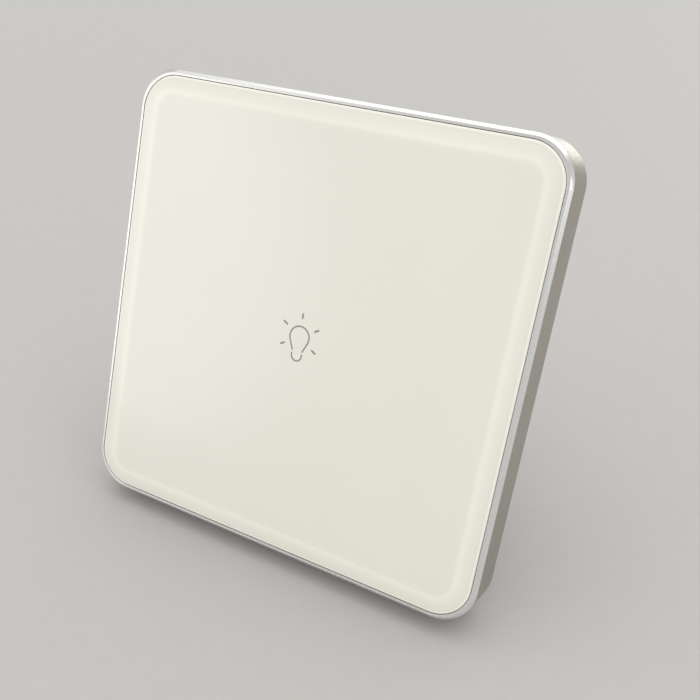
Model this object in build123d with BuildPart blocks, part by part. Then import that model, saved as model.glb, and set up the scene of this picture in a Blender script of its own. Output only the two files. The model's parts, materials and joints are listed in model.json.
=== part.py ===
from build123d import *
import math
import os

# A one-gang smart light switch for a square wall box: a touch-sensitive glass
# front in an aluminium frame, which clips on a steel mounting plate, and behind
# the plate a housing with the mains board, the relay and the wire terminals.
#
# Millimetres. +X is right and +Z is up for someone who faces the switch, and
# +Y points into the wall. The origin is on the wall surface, in the middle
# between the two slots for the wall box screws.

os.makedirs("parts", exist_ok=True)

# Front: overall sizes
face_size = 86.0
corner_radius = 7.8
rim_front = -8.9
front_chamfer = 0.6
rear_chamfer = 0.25
rim_width = 1.1
wall_thickness = 1.3
notch_width = 10.0
notch_depth = 1.0

# Front: glass
glass_front = -9.3
glass_thickness = 2.5
glass_gap = 0.1
border_width = 3.6
border_drop = 0.35
pocket_corner = 7.0
cut_margin = 0.5
adhesive_thickness = 0.25
adhesive_inset = 0.2
adhesive_opening = 72.0

# Front: shelf of the frame and the carrier behind it
shelf_thickness = 1.2
shelf_opening = 77.0
shelf_corner = 4.8
carrier_size = 82.8
carrier_corner = 5.8
carrier_thickness = 1.4
carrier_screw_reach = 40.2
rib_thickness = 1.0
rib_pitch = 18.6
rib_count = 3
pilot_radius = 0.85
pilot_depth = 2.4

# Front: touch board
board_gap = 0.55
touch_board_width = 44.0
touch_board_height = 52.0
touch_board_thickness = 1.0
touch_board_corner = 1.5
board_screw_clearance = 1.1
board_screw_x = 14.0
board_screw_z = 20.0
touch_spring_radius = 3.25
touch_spring_wire = 0.4
touch_spring_turns = 3
tube_outer_radius = 4.6
tube_inner_radius = 4.0
tube_hole_radius = 4.9
diffuser_radius = 6.0
diffuser_thickness = 0.2

# Mounting plate
plate_size = 82.0
plate_thickness = 1.2
plate_corner_radius = 6.0
lip_depth = 3.4
lip_length = 68.0
plate_window_width = 35.0
plate_window_height = 48.0
plate_window_corner = 3.0
fold_radius = 0.9
box_screw_spacing = 60.3
slot_width = 4.5
slot_length = 8.5

# Clips
clip_offset = 24.0
clip_width = 8.0
clip_sheet = 0.4
clip_window_width = 9.2
clip_window_height = 1.6

# Rear housing
housing_width = 51.0
housing_height = 64.0
housing_depth = 28.0
housing_wall = 1.8
housing_corner = 4.0
housing_draft = 0.6
post_x = 21.2
post_z = 27.6
post_radius = 2.9
plate_screw_hole = 1.4

# Boards and covers behind the plate
cover_thickness = 1.6
power_board_front = 9.4
power_board_thickness = 1.6
power_board_width = 47.0
power_board_height = 59.6

# Pin header between the boards
pin_count = 8
pin_pitch = 2.54
pin_side = 0.64
pin_hole_side = 0.74
header_z = -16.0

# Terminals
terminal_pitch = 10.0
block_width = 32.0
block_top = -20.0
block_bottom = -31.6
block_rear = 27.6
cage_width = 7.0
cage_depth = 6.0
cage_wall = 1.0
cage_top_wall = 2.0
screw_axis_z = -26.2
thread_radius = 1.5
running_gap = 0.05
entry_width = 5.0

# Relay
relay_x = -12.6
relay_z = -8.8
armature_angle = 3.8

# Depths worked out from the sizes above
half_face = face_size / 2
glass_half = half_face - rim_width - glass_gap
glass_back = glass_front + glass_thickness
shelf_front = glass_back + adhesive_thickness
shelf_back = shelf_front + shelf_thickness
carrier_back = shelf_back + carrier_thickness
touch_board_front = carrier_back + board_gap
touch_board_back = touch_board_front + touch_board_thickness
power_board_back = power_board_front + power_board_thickness
housing_floor = housing_depth - housing_wall
terminal_places = [-terminal_pitch, 0.0, terminal_pitch]


def at_depth(y):
    """Plane parallel to the wall: local X and Y are the object's X and Z.

    A positive extrude goes towards the room, a negative one into the wall.
    """
    return Plane.XZ.offset(-y)


def turning_plane(x, z, y=0.0):
    """Plane through an axis square to the wall: local X is the radius, local Y the depth."""
    return Plane(origin=(x, y, z), x_dir=(1, 0, 0), z_dir=(0, 0, 1))


def depth_axis(x, z):
    """Axis square to the wall, through x and z."""
    return Axis((x, 0, z), (0, 1, 0))


def make_screw(shank_radius, length, head_radius, head_height):
    """Pan-head screw along +Y whose head is seated at y = 0."""
    with BuildPart() as screw:
        with BuildSketch(turning_plane(0, 0)):
            with Locations((shank_radius / 2, length / 2)):
                Rectangle(shank_radius, length)
            with Locations((head_radius / 2, -head_height / 2)):
                Rectangle(head_radius, head_height)
        revolve(axis=Axis.Y)
    return screw.part


# Aluminium frame: side wall, inner shelf for the glass, notch to pry it off

with BuildPart() as aluminium_frame:
    with BuildSketch(at_depth(0)):
        RectangleRounded(face_size, face_size, corner_radius)
    extrude(amount=-rim_front)
    front_edges = aluminium_frame.faces().sort_by(Axis.Y)[0].outer_wire().edges()
    chamfer(front_edges, length=front_chamfer)
    rear_edges = aluminium_frame.faces().sort_by(Axis.Y)[-1].outer_wire().edges()
    chamfer(rear_edges, length=rear_chamfer)
    glass_pocket = 2 * (half_face - rim_width)
    with BuildSketch(at_depth(shelf_front)):
        RectangleRounded(glass_pocket, glass_pocket, pocket_corner)
    extrude(amount=shelf_front - rim_front, mode=Mode.SUBTRACT)
    with BuildSketch(at_depth(shelf_front)):
        RectangleRounded(shelf_opening, shelf_opening, shelf_corner)
    extrude(amount=-shelf_thickness, mode=Mode.SUBTRACT)
    rear_pocket = face_size - 2 * wall_thickness
    with BuildSketch(at_depth(0)):
        RectangleRounded(rear_pocket, rear_pocket, corner_radius - wall_thickness)
    extrude(amount=-shelf_back, mode=Mode.SUBTRACT)
    # Screw holes in the shelf
    with BuildSketch(at_depth(shelf_back)):
        with PolarLocations(carrier_screw_reach, 4):
            Circle(pilot_radius)
    extrude(amount=shelf_thickness, mode=Mode.SUBTRACT)
    # Notch in the lower edge for prying the front off
    with BuildSketch(at_depth(0)):
        with Locations((0, -half_face)):
            Rectangle(notch_width, 4 * wall_thickness)
    extrude(amount=notch_depth, mode=Mode.SUBTRACT)
aluminium_frame.part.label = "aluminium_frame"
export_step(aluminium_frame.part, "parts/aluminium_frame.step")

# Glass panel: flat slab whose border falls away in one gentle arc

with BuildPart() as glass_panel:
    with BuildSketch(at_depth(glass_back)):
        RectangleRounded(2 * glass_half, 2 * glass_half, pocket_corner - glass_gap)
    extrude(amount=glass_thickness)
    outline = glass_panel.faces().sort_by(Axis.Y)[0].outer_wire()
    # Local X of this plane points to the room and local Y outwards
    across_border = Plane(origin=outline @ 0, x_dir=(0, -1, 0), z_dir=outline % 0)
    with BuildSketch(across_border):
        with BuildLine():
            arc_start = (0.0, -border_width)
            arc_end = (-border_drop, 0.0)
            TangentArc(arc_start, arc_end, tangent=(0, 1))
            Polyline(
                arc_end,
                (-border_drop, cut_margin),
                (cut_margin, cut_margin),
                (cut_margin, -border_width),
                arc_start,
            )
        make_face()
    sweep(path=outline, mode=Mode.SUBTRACT)
glass_panel.part.label = "glass_panel"
export_step(glass_panel.part, "parts/glass_panel.step")

# Adhesive ring that bonds the glass to the shelf and the carrier

with BuildPart() as glass_adhesive:
    with BuildSketch(at_depth(shelf_front)):
        adhesive_size = 2 * (glass_half - adhesive_inset)
        RectangleRounded(adhesive_size, adhesive_size, pocket_corner - glass_gap - adhesive_inset)
        Rectangle(adhesive_opening, adhesive_opening, mode=Mode.SUBTRACT)
    extrude(amount=adhesive_thickness)
glass_adhesive.part.label = "glass_adhesive"
export_step(glass_adhesive.part, "parts/glass_adhesive.step")

# Carrier plate: moulded plate with a grid of ribs that backs the glass

shelf_gap = 0.4
rib_field = shelf_opening - 2 * shelf_gap
rib_frame_width = 1.2
tube_ring_wall = 1.6
pad_size = 4.4
board_screw_places = [(-board_screw_x, board_screw_z), (board_screw_x, -board_screw_z)]

with BuildPart() as carrier_plate:
    with BuildSketch(at_depth(carrier_back)):
        RectangleRounded(carrier_size, carrier_size, carrier_corner)
    extrude(amount=carrier_thickness)
    # Ribs towards the glass: a frame and a grid of straight ribs
    with BuildSketch(at_depth(shelf_back)):
        RectangleRounded(rib_field, rib_field, shelf_corner - shelf_gap)
        rib_length = rib_field - 2 * rib_frame_width
        Rectangle(rib_length, rib_length, mode=Mode.SUBTRACT)
        with GridLocations(rib_pitch, 0, rib_count, 1):
            Rectangle(rib_thickness, rib_length)
        with GridLocations(0, rib_pitch, 1, rib_count):
            Rectangle(rib_length, rib_thickness)
        Circle(tube_hole_radius + tube_ring_wall)
    extrude(amount=shelf_thickness)
    # Pads that keep the touch board off the plate, at its corners
    with BuildSketch(at_depth(touch_board_front)):
        with GridLocations(2 * board_screw_x, 2 * board_screw_z, 2, 2):
            Rectangle(pad_size, pad_size)
    extrude(amount=board_gap)
    # Hole for the light tube, screw holes for the board and for the frame
    with BuildSketch(at_depth(touch_board_front)):
        Circle(tube_hole_radius)
    extrude(amount=touch_board_front - shelf_front, mode=Mode.SUBTRACT)
    with BuildSketch(at_depth(touch_board_front)):
        with Locations(*board_screw_places):
            Circle(pilot_radius)
    extrude(amount=pilot_depth, mode=Mode.SUBTRACT)
    with BuildSketch(at_depth(carrier_back)):
        with PolarLocations(carrier_screw_reach, 4):
            Circle(pilot_radius)
    extrude(amount=carrier_thickness, mode=Mode.SUBTRACT)
carrier_plate.part.label = "carrier_plate"
export_step(carrier_plate.part, "parts/carrier_plate.step")

# Flat-headed screws that hold the carrier to the shelf of the frame

carrier_screw = make_screw(shank_radius=0.8, length=2.3, head_radius=1.4, head_height=0.4)

with BuildPart() as carrier_screws:
    for turn in range(4):
        screw_x = carrier_screw_reach * math.cos(math.radians(90 * turn))
        screw_z = carrier_screw_reach * math.sin(math.radians(90 * turn))
        with Locations(Location((screw_x, carrier_back, screw_z), (180, 0, 0))):
            add(carrier_screw)
carrier_screws.part.label = "carrier_screws"
export_step(carrier_screws.part, "parts/carrier_screws.step")

# Spring clips: bent strips whose bumps snap into the windows of the plate's lips

clip_seat = carrier_back + clip_sheet / 2
clip_foot_end = 33.6
clip_bend = 39.1
clip_waist = (-2.85, 39.35)
clip_bump = (-2.15, 40.35)
clip_tip = (-1.70, 39.1)
clip_bend_radius = 0.22

with BuildPart() as panel_clips:
    with BuildSketch(Plane.YZ.offset(clip_offset - clip_width / 2)):
        with BuildLine():
            FilletPolyline(
                (clip_seat, clip_foot_end),
                (clip_seat, clip_bend),
                clip_waist,
                clip_bump,
                clip_tip,
                radius=clip_bend_radius,
            )
        trace(line_width=clip_sheet)
    extrude(amount=clip_width)
    mirror(about=Plane.YZ)
    mirror(about=Plane.XY)
panel_clips.part.label = "panel_clips"
export_step(panel_clips.part, "parts/panel_clips.step")

# Touch board and its screws

with BuildPart() as touch_board:
    with BuildSketch(at_depth(touch_board_back)):
        RectangleRounded(touch_board_width, touch_board_height, touch_board_corner)
        with Locations(*board_screw_places):
            Circle(board_screw_clearance, mode=Mode.SUBTRACT)
        with Locations((0, header_z)):
            with GridLocations(pin_pitch, 0, pin_count, 1):
                Rectangle(pin_hole_side, pin_hole_side, mode=Mode.SUBTRACT)
    extrude(amount=touch_board_thickness)
touch_board.part.label = "touch_board"
export_step(touch_board.part, "parts/touch_board.step")

touch_board_screw = make_screw(shank_radius=0.8, length=3.2, head_radius=1.8, head_height=1.1)

with BuildPart() as touch_board_screws:
    for screw_x, screw_z in board_screw_places:
        with Locations(Location((screw_x, touch_board_back, screw_z), (180, 0, 0))):
            add(touch_board_screw)
touch_board_screws.part.label = "touch_board_screws"
export_step(touch_board_screws.part, "parts/touch_board_screws.step")

# Touch spring: the coil that carries the touch signal from the glass to the board

diffuser_back = glass_back + diffuser_thickness
spring_travel = touch_board_front - diffuser_back - touch_spring_wire
spring_start = (0, touch_board_front - touch_spring_wire / 2, 0)

with BuildPart() as touch_spring:
    with BuildLine() as spring_line:
        Helix(
            pitch=spring_travel / touch_spring_turns,
            height=spring_travel,
            radius=touch_spring_radius,
            center=spring_start,
            direction=(0, -1, 0),
        )
    with BuildSketch(Plane(origin=spring_line.line @ 0, z_dir=spring_line.line % 0)):
        RegularPolygon(radius=touch_spring_wire / 2, side_count=4)
    sweep()
touch_spring.part.label = "touch_spring"
export_step(touch_spring.part, "parts/touch_spring.step")
print(f"touch spring: gap between turns {spring_travel / touch_spring_turns - touch_spring_wire:.2f} mm")

# Light tube round the spring, lamp inside it, and diffuser behind the icon

with BuildPart() as light_tube:
    with BuildSketch(at_depth(touch_board_front)):
        Circle(tube_outer_radius)
        Circle(tube_inner_radius, mode=Mode.SUBTRACT)
    extrude(amount=touch_board_front - diffuser_back)
light_tube.part.label = "light_tube"
export_step(light_tube.part, "parts/light_tube.step")

lamp_length = 2.0
lamp_width = 1.25
lamp_base = 0.35
lens_length = 1.4
lens_width = 1.15
lens_height = 0.55
lens_taper = 8.0

with BuildPart() as indicator_led:
    with BuildSketch(at_depth(touch_board_front)):
        Rectangle(lamp_length, lamp_width)
    extrude(amount=lamp_base)
    with BuildSketch(at_depth(touch_board_front - lamp_base)):
        Rectangle(lens_length, lens_width)
    extrude(amount=lens_height, taper=lens_taper)
indicator_led.part.label = "indicator_led"
export_step(indicator_led.part, "parts/indicator_led.step")

with BuildPart() as icon_diffuser:
    with BuildSketch(at_depth(diffuser_back)):
        Circle(diffuser_radius)
    extrude(amount=diffuser_thickness)
icon_diffuser.part.label = "icon_diffuser"
export_step(icon_diffuser.part, "parts/icon_diffuser.step")

# Touch chip with its eight legs, and the small parts round it

chip_width = 3.9
chip_height = 4.9
chip_depth = 1.5
chip_standoff = 0.15
chip_bevel = 0.25
leg_pitch = 1.27
leg_width = 0.42
leg_sheet = 0.2
leg_rise = 0.8
leg_reach = 0.6
foot_length = 0.6


def make_chip():
    """Eight-legged chip that stands on y = 0 and rises along +Y."""
    with BuildPart() as chip:
        with BuildSketch(at_depth(chip_depth)):
            Rectangle(chip_width, chip_height)
        extrude(amount=chip_depth - chip_standoff)
        chamfer(chip.faces().sort_by(Axis.Y)[-1].edges(), length=chip_bevel)
        # Legs: a shoulder out of the body, an upright, and a foot on the board
        with BuildSketch(at_depth(leg_rise)):
            with GridLocations(chip_width, leg_pitch, 2, 4):
                Rectangle(2 * leg_reach + leg_sheet, leg_width)
        extrude(amount=leg_sheet)
        with BuildSketch(at_depth(leg_rise)):
            with GridLocations(chip_width + 2 * leg_reach, leg_pitch, 2, 4):
                Rectangle(leg_sheet, leg_width)
        extrude(amount=leg_rise)
        with BuildSketch(at_depth(leg_sheet)):
            with GridLocations(chip_width + 2 * leg_reach + foot_length - leg_sheet, leg_pitch, 2, 4):
                Rectangle(foot_length, leg_width)
        extrude(amount=leg_sheet)
    return chip.part


touch_chip_place = (13.0, 2.0)
small_part_length = 1.6
small_part_width = 0.8
small_part_height = 0.5
touch_board_part_places = [
    (10.4, 8.0), (13.0, 8.0), (15.6, 8.0), (18.6, 3.4), (18.6, 0.8), (10.4, -4.4),
    (13.0, -4.4), (-14.0, 5.0), (-14.0, 2.4), (-14.0, -0.2), (-13.0, -9.0), (-10.0, -9.0),
]

with BuildPart() as touch_chip:
    with Locations((touch_chip_place[0], touch_board_back, touch_chip_place[1])):
        add(make_chip())
touch_chip.part.label = "touch_chip"
export_step(touch_chip.part, "parts/touch_chip.step")

with BuildPart() as touch_board_parts:
    with BuildSketch(at_depth(touch_board_back + small_part_height)):
        with Locations(*touch_board_part_places):
            Rectangle(small_part_length, small_part_width)
    extrude(amount=small_part_height)
touch_board_parts.part.label = "touch_board_parts"
export_step(touch_board_parts.part, "parts/touch_board_parts.step")

# Radio board and its metal shield

radio_x = -2.0
radio_z = 9.0
radio_board_width = 16.0
radio_board_height = 24.0
radio_board_thickness = 0.8
radio_board_back = touch_board_back + radio_board_thickness
shield_width = 12.6
shield_height = 15.0
shield_depth = 1.4
shield_z = radio_z - 3.5
shield_corner = 0.6
shield_bevel = 0.25

with BuildPart() as radio_board:
    with BuildSketch(at_depth(radio_board_back)):
        with Locations((radio_x, radio_z)):
            Rectangle(radio_board_width, radio_board_height)
    extrude(amount=radio_board_thickness)
radio_board.part.label = "radio_board"
export_step(radio_board.part, "parts/radio_board.step")

with BuildPart() as radio_shield:
    with BuildSketch(at_depth(radio_board_back + shield_depth)):
        with Locations((radio_x, shield_z)):
            Rectangle(shield_width, shield_height)
    extrude(amount=shield_depth)
    chamfer(radio_shield.edges().filter_by(Axis.Y), length=shield_corner)
    chamfer(radio_shield.faces().sort_by(Axis.Y)[-1].edges(), length=shield_bevel)
radio_shield.part.label = "radio_shield"
export_step(radio_shield.part, "parts/radio_shield.step")

# Pin header: plastic base, brass pins and the socket on the power board

header_base_height = 2.5
solder_stub = 0.35
pin_front = touch_board_front - solder_stub
pin_end = 6.1
socket_mouth = 0.9
socket_length = pin_count * pin_pitch + 0.3
socket_width = 2.5
socket_hole = 0.9
socket_hole_depth = 6.2

with BuildPart() as pin_header_base:
    # A row of octagons, one round each pin
    with BuildSketch(at_depth(touch_board_back + header_base_height)):
        with Locations((0, header_z)):
            with GridLocations(pin_pitch, 0, pin_count, 1):
                RegularPolygon(radius=pin_pitch / 2, side_count=8, major_radius=False, rotation=22.5)
                Rectangle(pin_side, pin_side, mode=Mode.SUBTRACT)
    extrude(amount=header_base_height)
pin_header_base.part.label = "pin_header_base"
export_step(pin_header_base.part, "parts/pin_header_base.step")

with BuildPart() as header_pins:
    with BuildSketch(at_depth(pin_end)):
        with Locations((0, header_z)):
            with GridLocations(pin_pitch, 0, pin_count, 1):
                Rectangle(pin_side, pin_side)
    extrude(amount=pin_end - pin_front)
header_pins.part.label = "header_pins"
export_step(header_pins.part, "parts/header_pins.step")

with BuildPart() as header_socket:
    with BuildSketch(at_depth(power_board_front)):
        with Locations((0, header_z)):
            Rectangle(socket_length, socket_width)
    extrude(amount=power_board_front - socket_mouth)
    with BuildSketch(at_depth(socket_mouth)):
        with Locations((0, header_z)):
            with GridLocations(pin_pitch, 0, pin_count, 1):
                Rectangle(socket_hole, socket_hole)
    extrude(amount=-socket_hole_depth, mode=Mode.SUBTRACT)
header_socket.part.label = "header_socket"
export_step(header_socket.part, "parts/header_socket.step")

# Mounting plate: pressed steel with folded lips, two slots and a window

lip_outer = plate_size / 2
lip_inner = lip_outer - plate_thickness
sheet_size = 2 * (lip_outer - fold_radius)

with BuildPart() as mounting_plate:
    with BuildSketch(at_depth(0)):
        RectangleRounded(sheet_size, sheet_size, plate_corner_radius - fold_radius)
    extrude(amount=plate_thickness)
    # One lip with its rounded fold, repeated on the four sides
    with BuildSketch(Plane.YZ.offset(-lip_length / 2)):
        with BuildLine():
            Polyline(
                (0, lip_outer - fold_radius),
                (-plate_thickness, lip_outer - fold_radius),
                (-plate_thickness, lip_inner),
                (-lip_depth, lip_inner),
                (-lip_depth, lip_outer),
                (-fold_radius, lip_outer),
            )
            RadiusArc((-fold_radius, lip_outer), (0, lip_outer - fold_radius), fold_radius)
        make_face()
    lip = extrude(amount=lip_length, mode=Mode.PRIVATE)
    for quarter in range(4):
        add(lip.rotate(Axis.Y, 90 * quarter))
    # Windows in the upper and lower lip for the clips
    with BuildSketch(Plane.XY):
        with Locations((-clip_offset, clip_bump[0]), (clip_offset, clip_bump[0])):
            Rectangle(clip_window_width, clip_window_height)
    extrude(amount=plate_size, both=True, mode=Mode.SUBTRACT)
    # Slots for the wall box screws, window for the boards, holes for the plate screws
    with BuildSketch(at_depth(0)):
        with GridLocations(box_screw_spacing, 0, 2, 1):
            SlotOverall(slot_length, slot_width)
        RectangleRounded(plate_window_width, plate_window_height, plate_window_corner)
        with GridLocations(2 * post_x, 2 * post_z, 2, 2):
            Circle(plate_screw_hole)
    extrude(amount=plate_thickness, mode=Mode.SUBTRACT)
mounting_plate.part.label = "mounting_plate"
export_step(mounting_plate.part, "parts/mounting_plate.step")

# Screws through the plate and the inner cover into the posts of the housing

plate_screw = make_screw(shank_radius=1.3, length=10.0, head_radius=2.5, head_height=1.2)

with BuildPart() as plate_screws:
    with Locations(
        (-post_x, -plate_thickness, -post_z),
        (post_x, -plate_thickness, -post_z),
        (-post_x, -plate_thickness, post_z),
        (post_x, -plate_thickness, post_z),
    ):
        add(plate_screw)
plate_screws.part.label = "plate_screws"
export_step(plate_screws.part, "parts/plate_screws.step")

# Inner cover: keeps fingers off the mains parts when the front is off

cavity_width = housing_width - 2 * housing_wall
cavity_height = housing_height - 2 * housing_wall
cover_gap = 0.2
cover_width = cavity_width - 2 * cover_gap
cover_height = cavity_height - 2 * cover_gap
cover_corner = 2.0
cover_rim_height = 3.4
cover_rim_wall = 1.2
boss_clearance = 8.0
header_window_gap = 0.4
vent_z = 18.0
vent_width = 1.4
vent_length = 10.0
vent_pitch = 3.6
vent_count = 8

with BuildPart() as inner_cover:
    with BuildSketch(at_depth(cover_thickness)):
        RectangleRounded(cover_width, cover_height, cover_corner)
    extrude(amount=cover_thickness)
    # Stiffening rim at the rear, broken at the corner posts
    with BuildSketch(at_depth(cover_thickness + cover_rim_height)):
        Rectangle(cover_width, cover_height)
        Rectangle(cover_width - 2 * cover_rim_wall, cover_height - 2 * cover_rim_wall, mode=Mode.SUBTRACT)
        with GridLocations(2 * post_x, 2 * post_z, 2, 2):
            Rectangle(boss_clearance, boss_clearance, mode=Mode.SUBTRACT)
    extrude(amount=cover_rim_height)
    with BuildSketch(at_depth(cover_thickness)):
        with GridLocations(2 * post_x, 2 * post_z, 2, 2):
            Circle(plate_screw_hole)
        with Locations((0, header_z)):
            Rectangle(socket_length + 2 * header_window_gap, socket_width + 2 * header_window_gap)
    extrude(amount=cover_thickness, mode=Mode.SUBTRACT)
    # Row of cooling slots over the power supply
    with BuildSketch(at_depth(cover_thickness)):
        with Locations((0, vent_z)):
            with GridLocations(vent_pitch, 0, vent_count, 1):
                Rectangle(vent_width, vent_length)
    extrude(amount=cover_thickness, mode=Mode.SUBTRACT)
inner_cover.part.label = "inner_cover"
export_step(inner_cover.part, "parts/inner_cover.step")

# Rear housing: moulded box with a bay for the terminal block at its lower edge

bay_gap = 0.2
bay_wall = 1.4
bay_half = block_width / 2 + bay_gap
bay_top = block_top + bay_gap
bay_overrun = 2.0
bay_bottom = -housing_height / 2 - bay_overrun
housing_bevel = 1.2
plate_screw_pilot = 1.35
plate_screw_depth = 9.0
board_post_places = [(-19.8, 21.8), (19.8, 18.5), (19.6, -14.2)]
board_post_radius = 2.3
board_screw_pilot = 1.05
board_screw_depth = 7.0
support_rib_width = 1.6
support_rib_height = 1.2
support_rib_spacing = 20.0
support_rib_inset = 0.7

with BuildPart() as rear_housing:
    with BuildSketch(at_depth(0)):
        RectangleRounded(housing_width, housing_height, housing_corner)
    extrude(amount=-housing_depth, taper=housing_draft)
    chamfer(rear_housing.faces().sort_by(Axis.Y)[-1].outer_wire().edges(), length=housing_bevel)
    with BuildSketch(at_depth(0)):
        RectangleRounded(cavity_width, cavity_height, housing_corner - housing_wall)
    extrude(amount=-housing_floor, mode=Mode.SUBTRACT)
    # Walls of the terminal bay, then the bay itself, open below and at the rear
    with BuildSketch(at_depth(power_board_back)):
        with Locations((0, (bay_top + bay_wall - cavity_height / 2) / 2)):
            Rectangle(2 * (bay_half + bay_wall), bay_top + bay_wall + cavity_height / 2)
    extrude(amount=-(housing_floor - power_board_back))
    with BuildSketch(at_depth(power_board_back)):
        with Locations((0, (bay_top + bay_bottom) / 2)):
            Rectangle(2 * bay_half, bay_top - bay_bottom)
    extrude(amount=-housing_depth, mode=Mode.SUBTRACT)
    # Corner posts for the plate screws
    with BuildSketch(at_depth(housing_floor)):
        with GridLocations(2 * post_x, 2 * post_z, 2, 2):
            Circle(post_radius)
    extrude(amount=housing_floor - cover_thickness)
    with BuildSketch(at_depth(cover_thickness)):
        with GridLocations(2 * post_x, 2 * post_z, 2, 2):
            Circle(plate_screw_pilot)
    extrude(amount=-plate_screw_depth, mode=Mode.SUBTRACT)
    # Posts and wall ribs that carry the power board
    with BuildSketch(at_depth(housing_floor)):
        with Locations(*board_post_places):
            Circle(board_post_radius)
        with GridLocations(cavity_width - 2 * support_rib_inset, support_rib_spacing, 2, 2):
            Rectangle(support_rib_width, support_rib_height)
    extrude(amount=housing_floor - power_board_back)
    with BuildSketch(at_depth(power_board_back)):
        with Locations(*board_post_places):
            Circle(board_screw_pilot)
    extrude(amount=-board_screw_depth, mode=Mode.SUBTRACT)
rear_housing.part.label = "rear_housing"
export_step(rear_housing.part, "parts/rear_housing.step")

# Power board: corners cut away round the posts, slot that parts mains from low voltage

board_corner_cut = 11.4
isolation_slot_x = -1.2
isolation_slot_z = -6.0
isolation_slot_length = 14.0
isolation_slot_width = 1.2
tag_leg_z = -22.5
tag_leg_width = 2.4
tag_leg_thickness = 0.8
tag_hole_gap = 0.15
power_screw_clearance = 1.2

with BuildPart() as power_board:
    with BuildSketch(at_depth(power_board_back)):
        Rectangle(power_board_width, power_board_height)
        with GridLocations(power_board_width, power_board_height, 2, 2):
            Rectangle(board_corner_cut, board_corner_cut, mode=Mode.SUBTRACT)
        with Locations(*board_post_places):
            Circle(power_screw_clearance, mode=Mode.SUBTRACT)
        with Locations(*[(x, tag_leg_z) for x in terminal_places]):
            Rectangle(
                tag_leg_width + 2 * tag_hole_gap,
                tag_leg_thickness + 2 * tag_hole_gap,
                mode=Mode.SUBTRACT,
            )
        with Locations((isolation_slot_x, isolation_slot_z)):
            Rectangle(isolation_slot_width, isolation_slot_length, mode=Mode.SUBTRACT)
    extrude(amount=power_board_thickness)
power_board.part.label = "power_board"
export_step(power_board.part, "parts/power_board.step")

power_board_screw = make_screw(shank_radius=1.0, length=7.0, head_radius=2.0, head_height=1.4)

with BuildPart() as power_board_screws:
    with Locations(*[(x, power_board_front, z) for x, z in board_post_places]):
        add(power_board_screw)
power_board_screws.part.label = "power_board_screws"
export_step(power_board_screws.part, "parts/power_board_screws.step")

# Parts on the room side of the power board: the supply's chip and small parts

power_chip_place = (4.0, 8.0)
power_part_length = 2.0
power_part_width = 1.25
power_part_height = 0.6
power_board_part_places = [
    (10.4, 10.6), (10.4, 8.0), (10.4, 5.4), (-2.6, 9.6), (-2.6, 6.6),
    (4.0, 14.4), (7.4, 14.4), (11.0, -6.0), (14.6, -6.0), (-13.0, -8.0), (-9.6, -8.0),
]

with BuildPart() as power_chip:
    with Locations(Location((power_chip_place[0], power_board_front, power_chip_place[1]), (180, 0, 0))):
        add(make_chip())
power_chip.part.label = "power_chip"
export_step(power_chip.part, "parts/power_chip.step")

with BuildPart() as power_board_parts:
    with BuildSketch(at_depth(power_board_front)):
        with Locations(*power_board_part_places):
            Rectangle(power_part_length, power_part_width)
    extrude(amount=power_part_height)
power_board_parts.part.label = "power_board_parts"
export_step(power_board_parts.part, "parts/power_board_parts.step")

# Terminals: a screw lifts a cage that presses the wire against a fixed tag

screw_head_radius = 2.6
screw_head_height = 1.8
screw_slot_width = 0.8
screw_slot_depth = 1.0
screw_cross_length = 3.2
well_radius = 2.8
well_floor = 25.5
well_depth = 4.0
screw_hole_length = 6.0
tag_rear = 20.0
tag_thickness = 1.0
tag_front = tag_rear - tag_thickness
cage_rest_gap = 0.3
cage_top = tag_rear + cage_rest_gap + cage_top_wall
cage_bottom = 13.1
cage_inner_bottom = cage_bottom + 1.2
cage_travel = 2.5
cage_end_gap = 0.1
cage_corner = 0.8
block_bevel = 0.4
screw_hole_gap = 0.1
cavity_side = 0.15
cavity_front_z = screw_axis_z - cage_depth / 2 - cavity_side
cavity_rear_z = -21.9
mouth_chamfer = 0.8

with BuildPart() as terminal_block:
    with BuildSketch(at_depth(block_rear)):
        with Locations((0, (block_top + block_bottom) / 2)):
            Rectangle(block_width, block_top - block_bottom)
    extrude(amount=block_rear - power_board_back)
    chamfer(terminal_block.faces().sort_by(Axis.Y)[-1].edges(), length=block_bevel)
    # Cage cavities, open towards the board
    with BuildSketch(at_depth(power_board_back)):
        with Locations((0, (cavity_front_z + cavity_rear_z) / 2)):
            with GridLocations(terminal_pitch, 0, 3, 1):
                Rectangle(cage_width + 2 * cavity_side, cavity_rear_z - cavity_front_z)
    extrude(amount=-(cage_top + cage_travel + cage_end_gap - power_board_back), mode=Mode.SUBTRACT)
    # Screw holes and the wells that take the heads
    with BuildSketch(at_depth(cage_top)):
        with Locations((0, screw_axis_z)):
            with GridLocations(terminal_pitch, 0, 3, 1):
                Circle(thread_radius + screw_hole_gap)
    extrude(amount=-screw_hole_length, mode=Mode.SUBTRACT)
    with BuildSketch(at_depth(well_floor)):
        with Locations((0, screw_axis_z)):
            with GridLocations(terminal_pitch, 0, 3, 1):
                Circle(well_radius)
    extrude(amount=-well_depth, mode=Mode.SUBTRACT)
    # Wire entries in the lower face, with a widened mouth
    entry_middle = (cage_inner_bottom + tag_front) / 2
    entry_depth = tag_front - cage_inner_bottom
    with BuildSketch(Plane.XY.offset(block_bottom)):
        with Locations((0, entry_middle)):
            with GridLocations(terminal_pitch, 0, 3, 1):
                Rectangle(entry_width, entry_depth)
    extrude(amount=cavity_front_z - block_bottom, mode=Mode.SUBTRACT)
    with BuildSketch(Plane.XY.offset(block_bottom)):
        with Locations((0, entry_middle)):
            with GridLocations(terminal_pitch, 0, 3, 1):
                Rectangle(entry_width + 2 * mouth_chamfer, entry_depth + 2 * mouth_chamfer)
    extrude(amount=mouth_chamfer, taper=45, mode=Mode.SUBTRACT)
terminal_block.part.label = "terminal_block"
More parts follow.
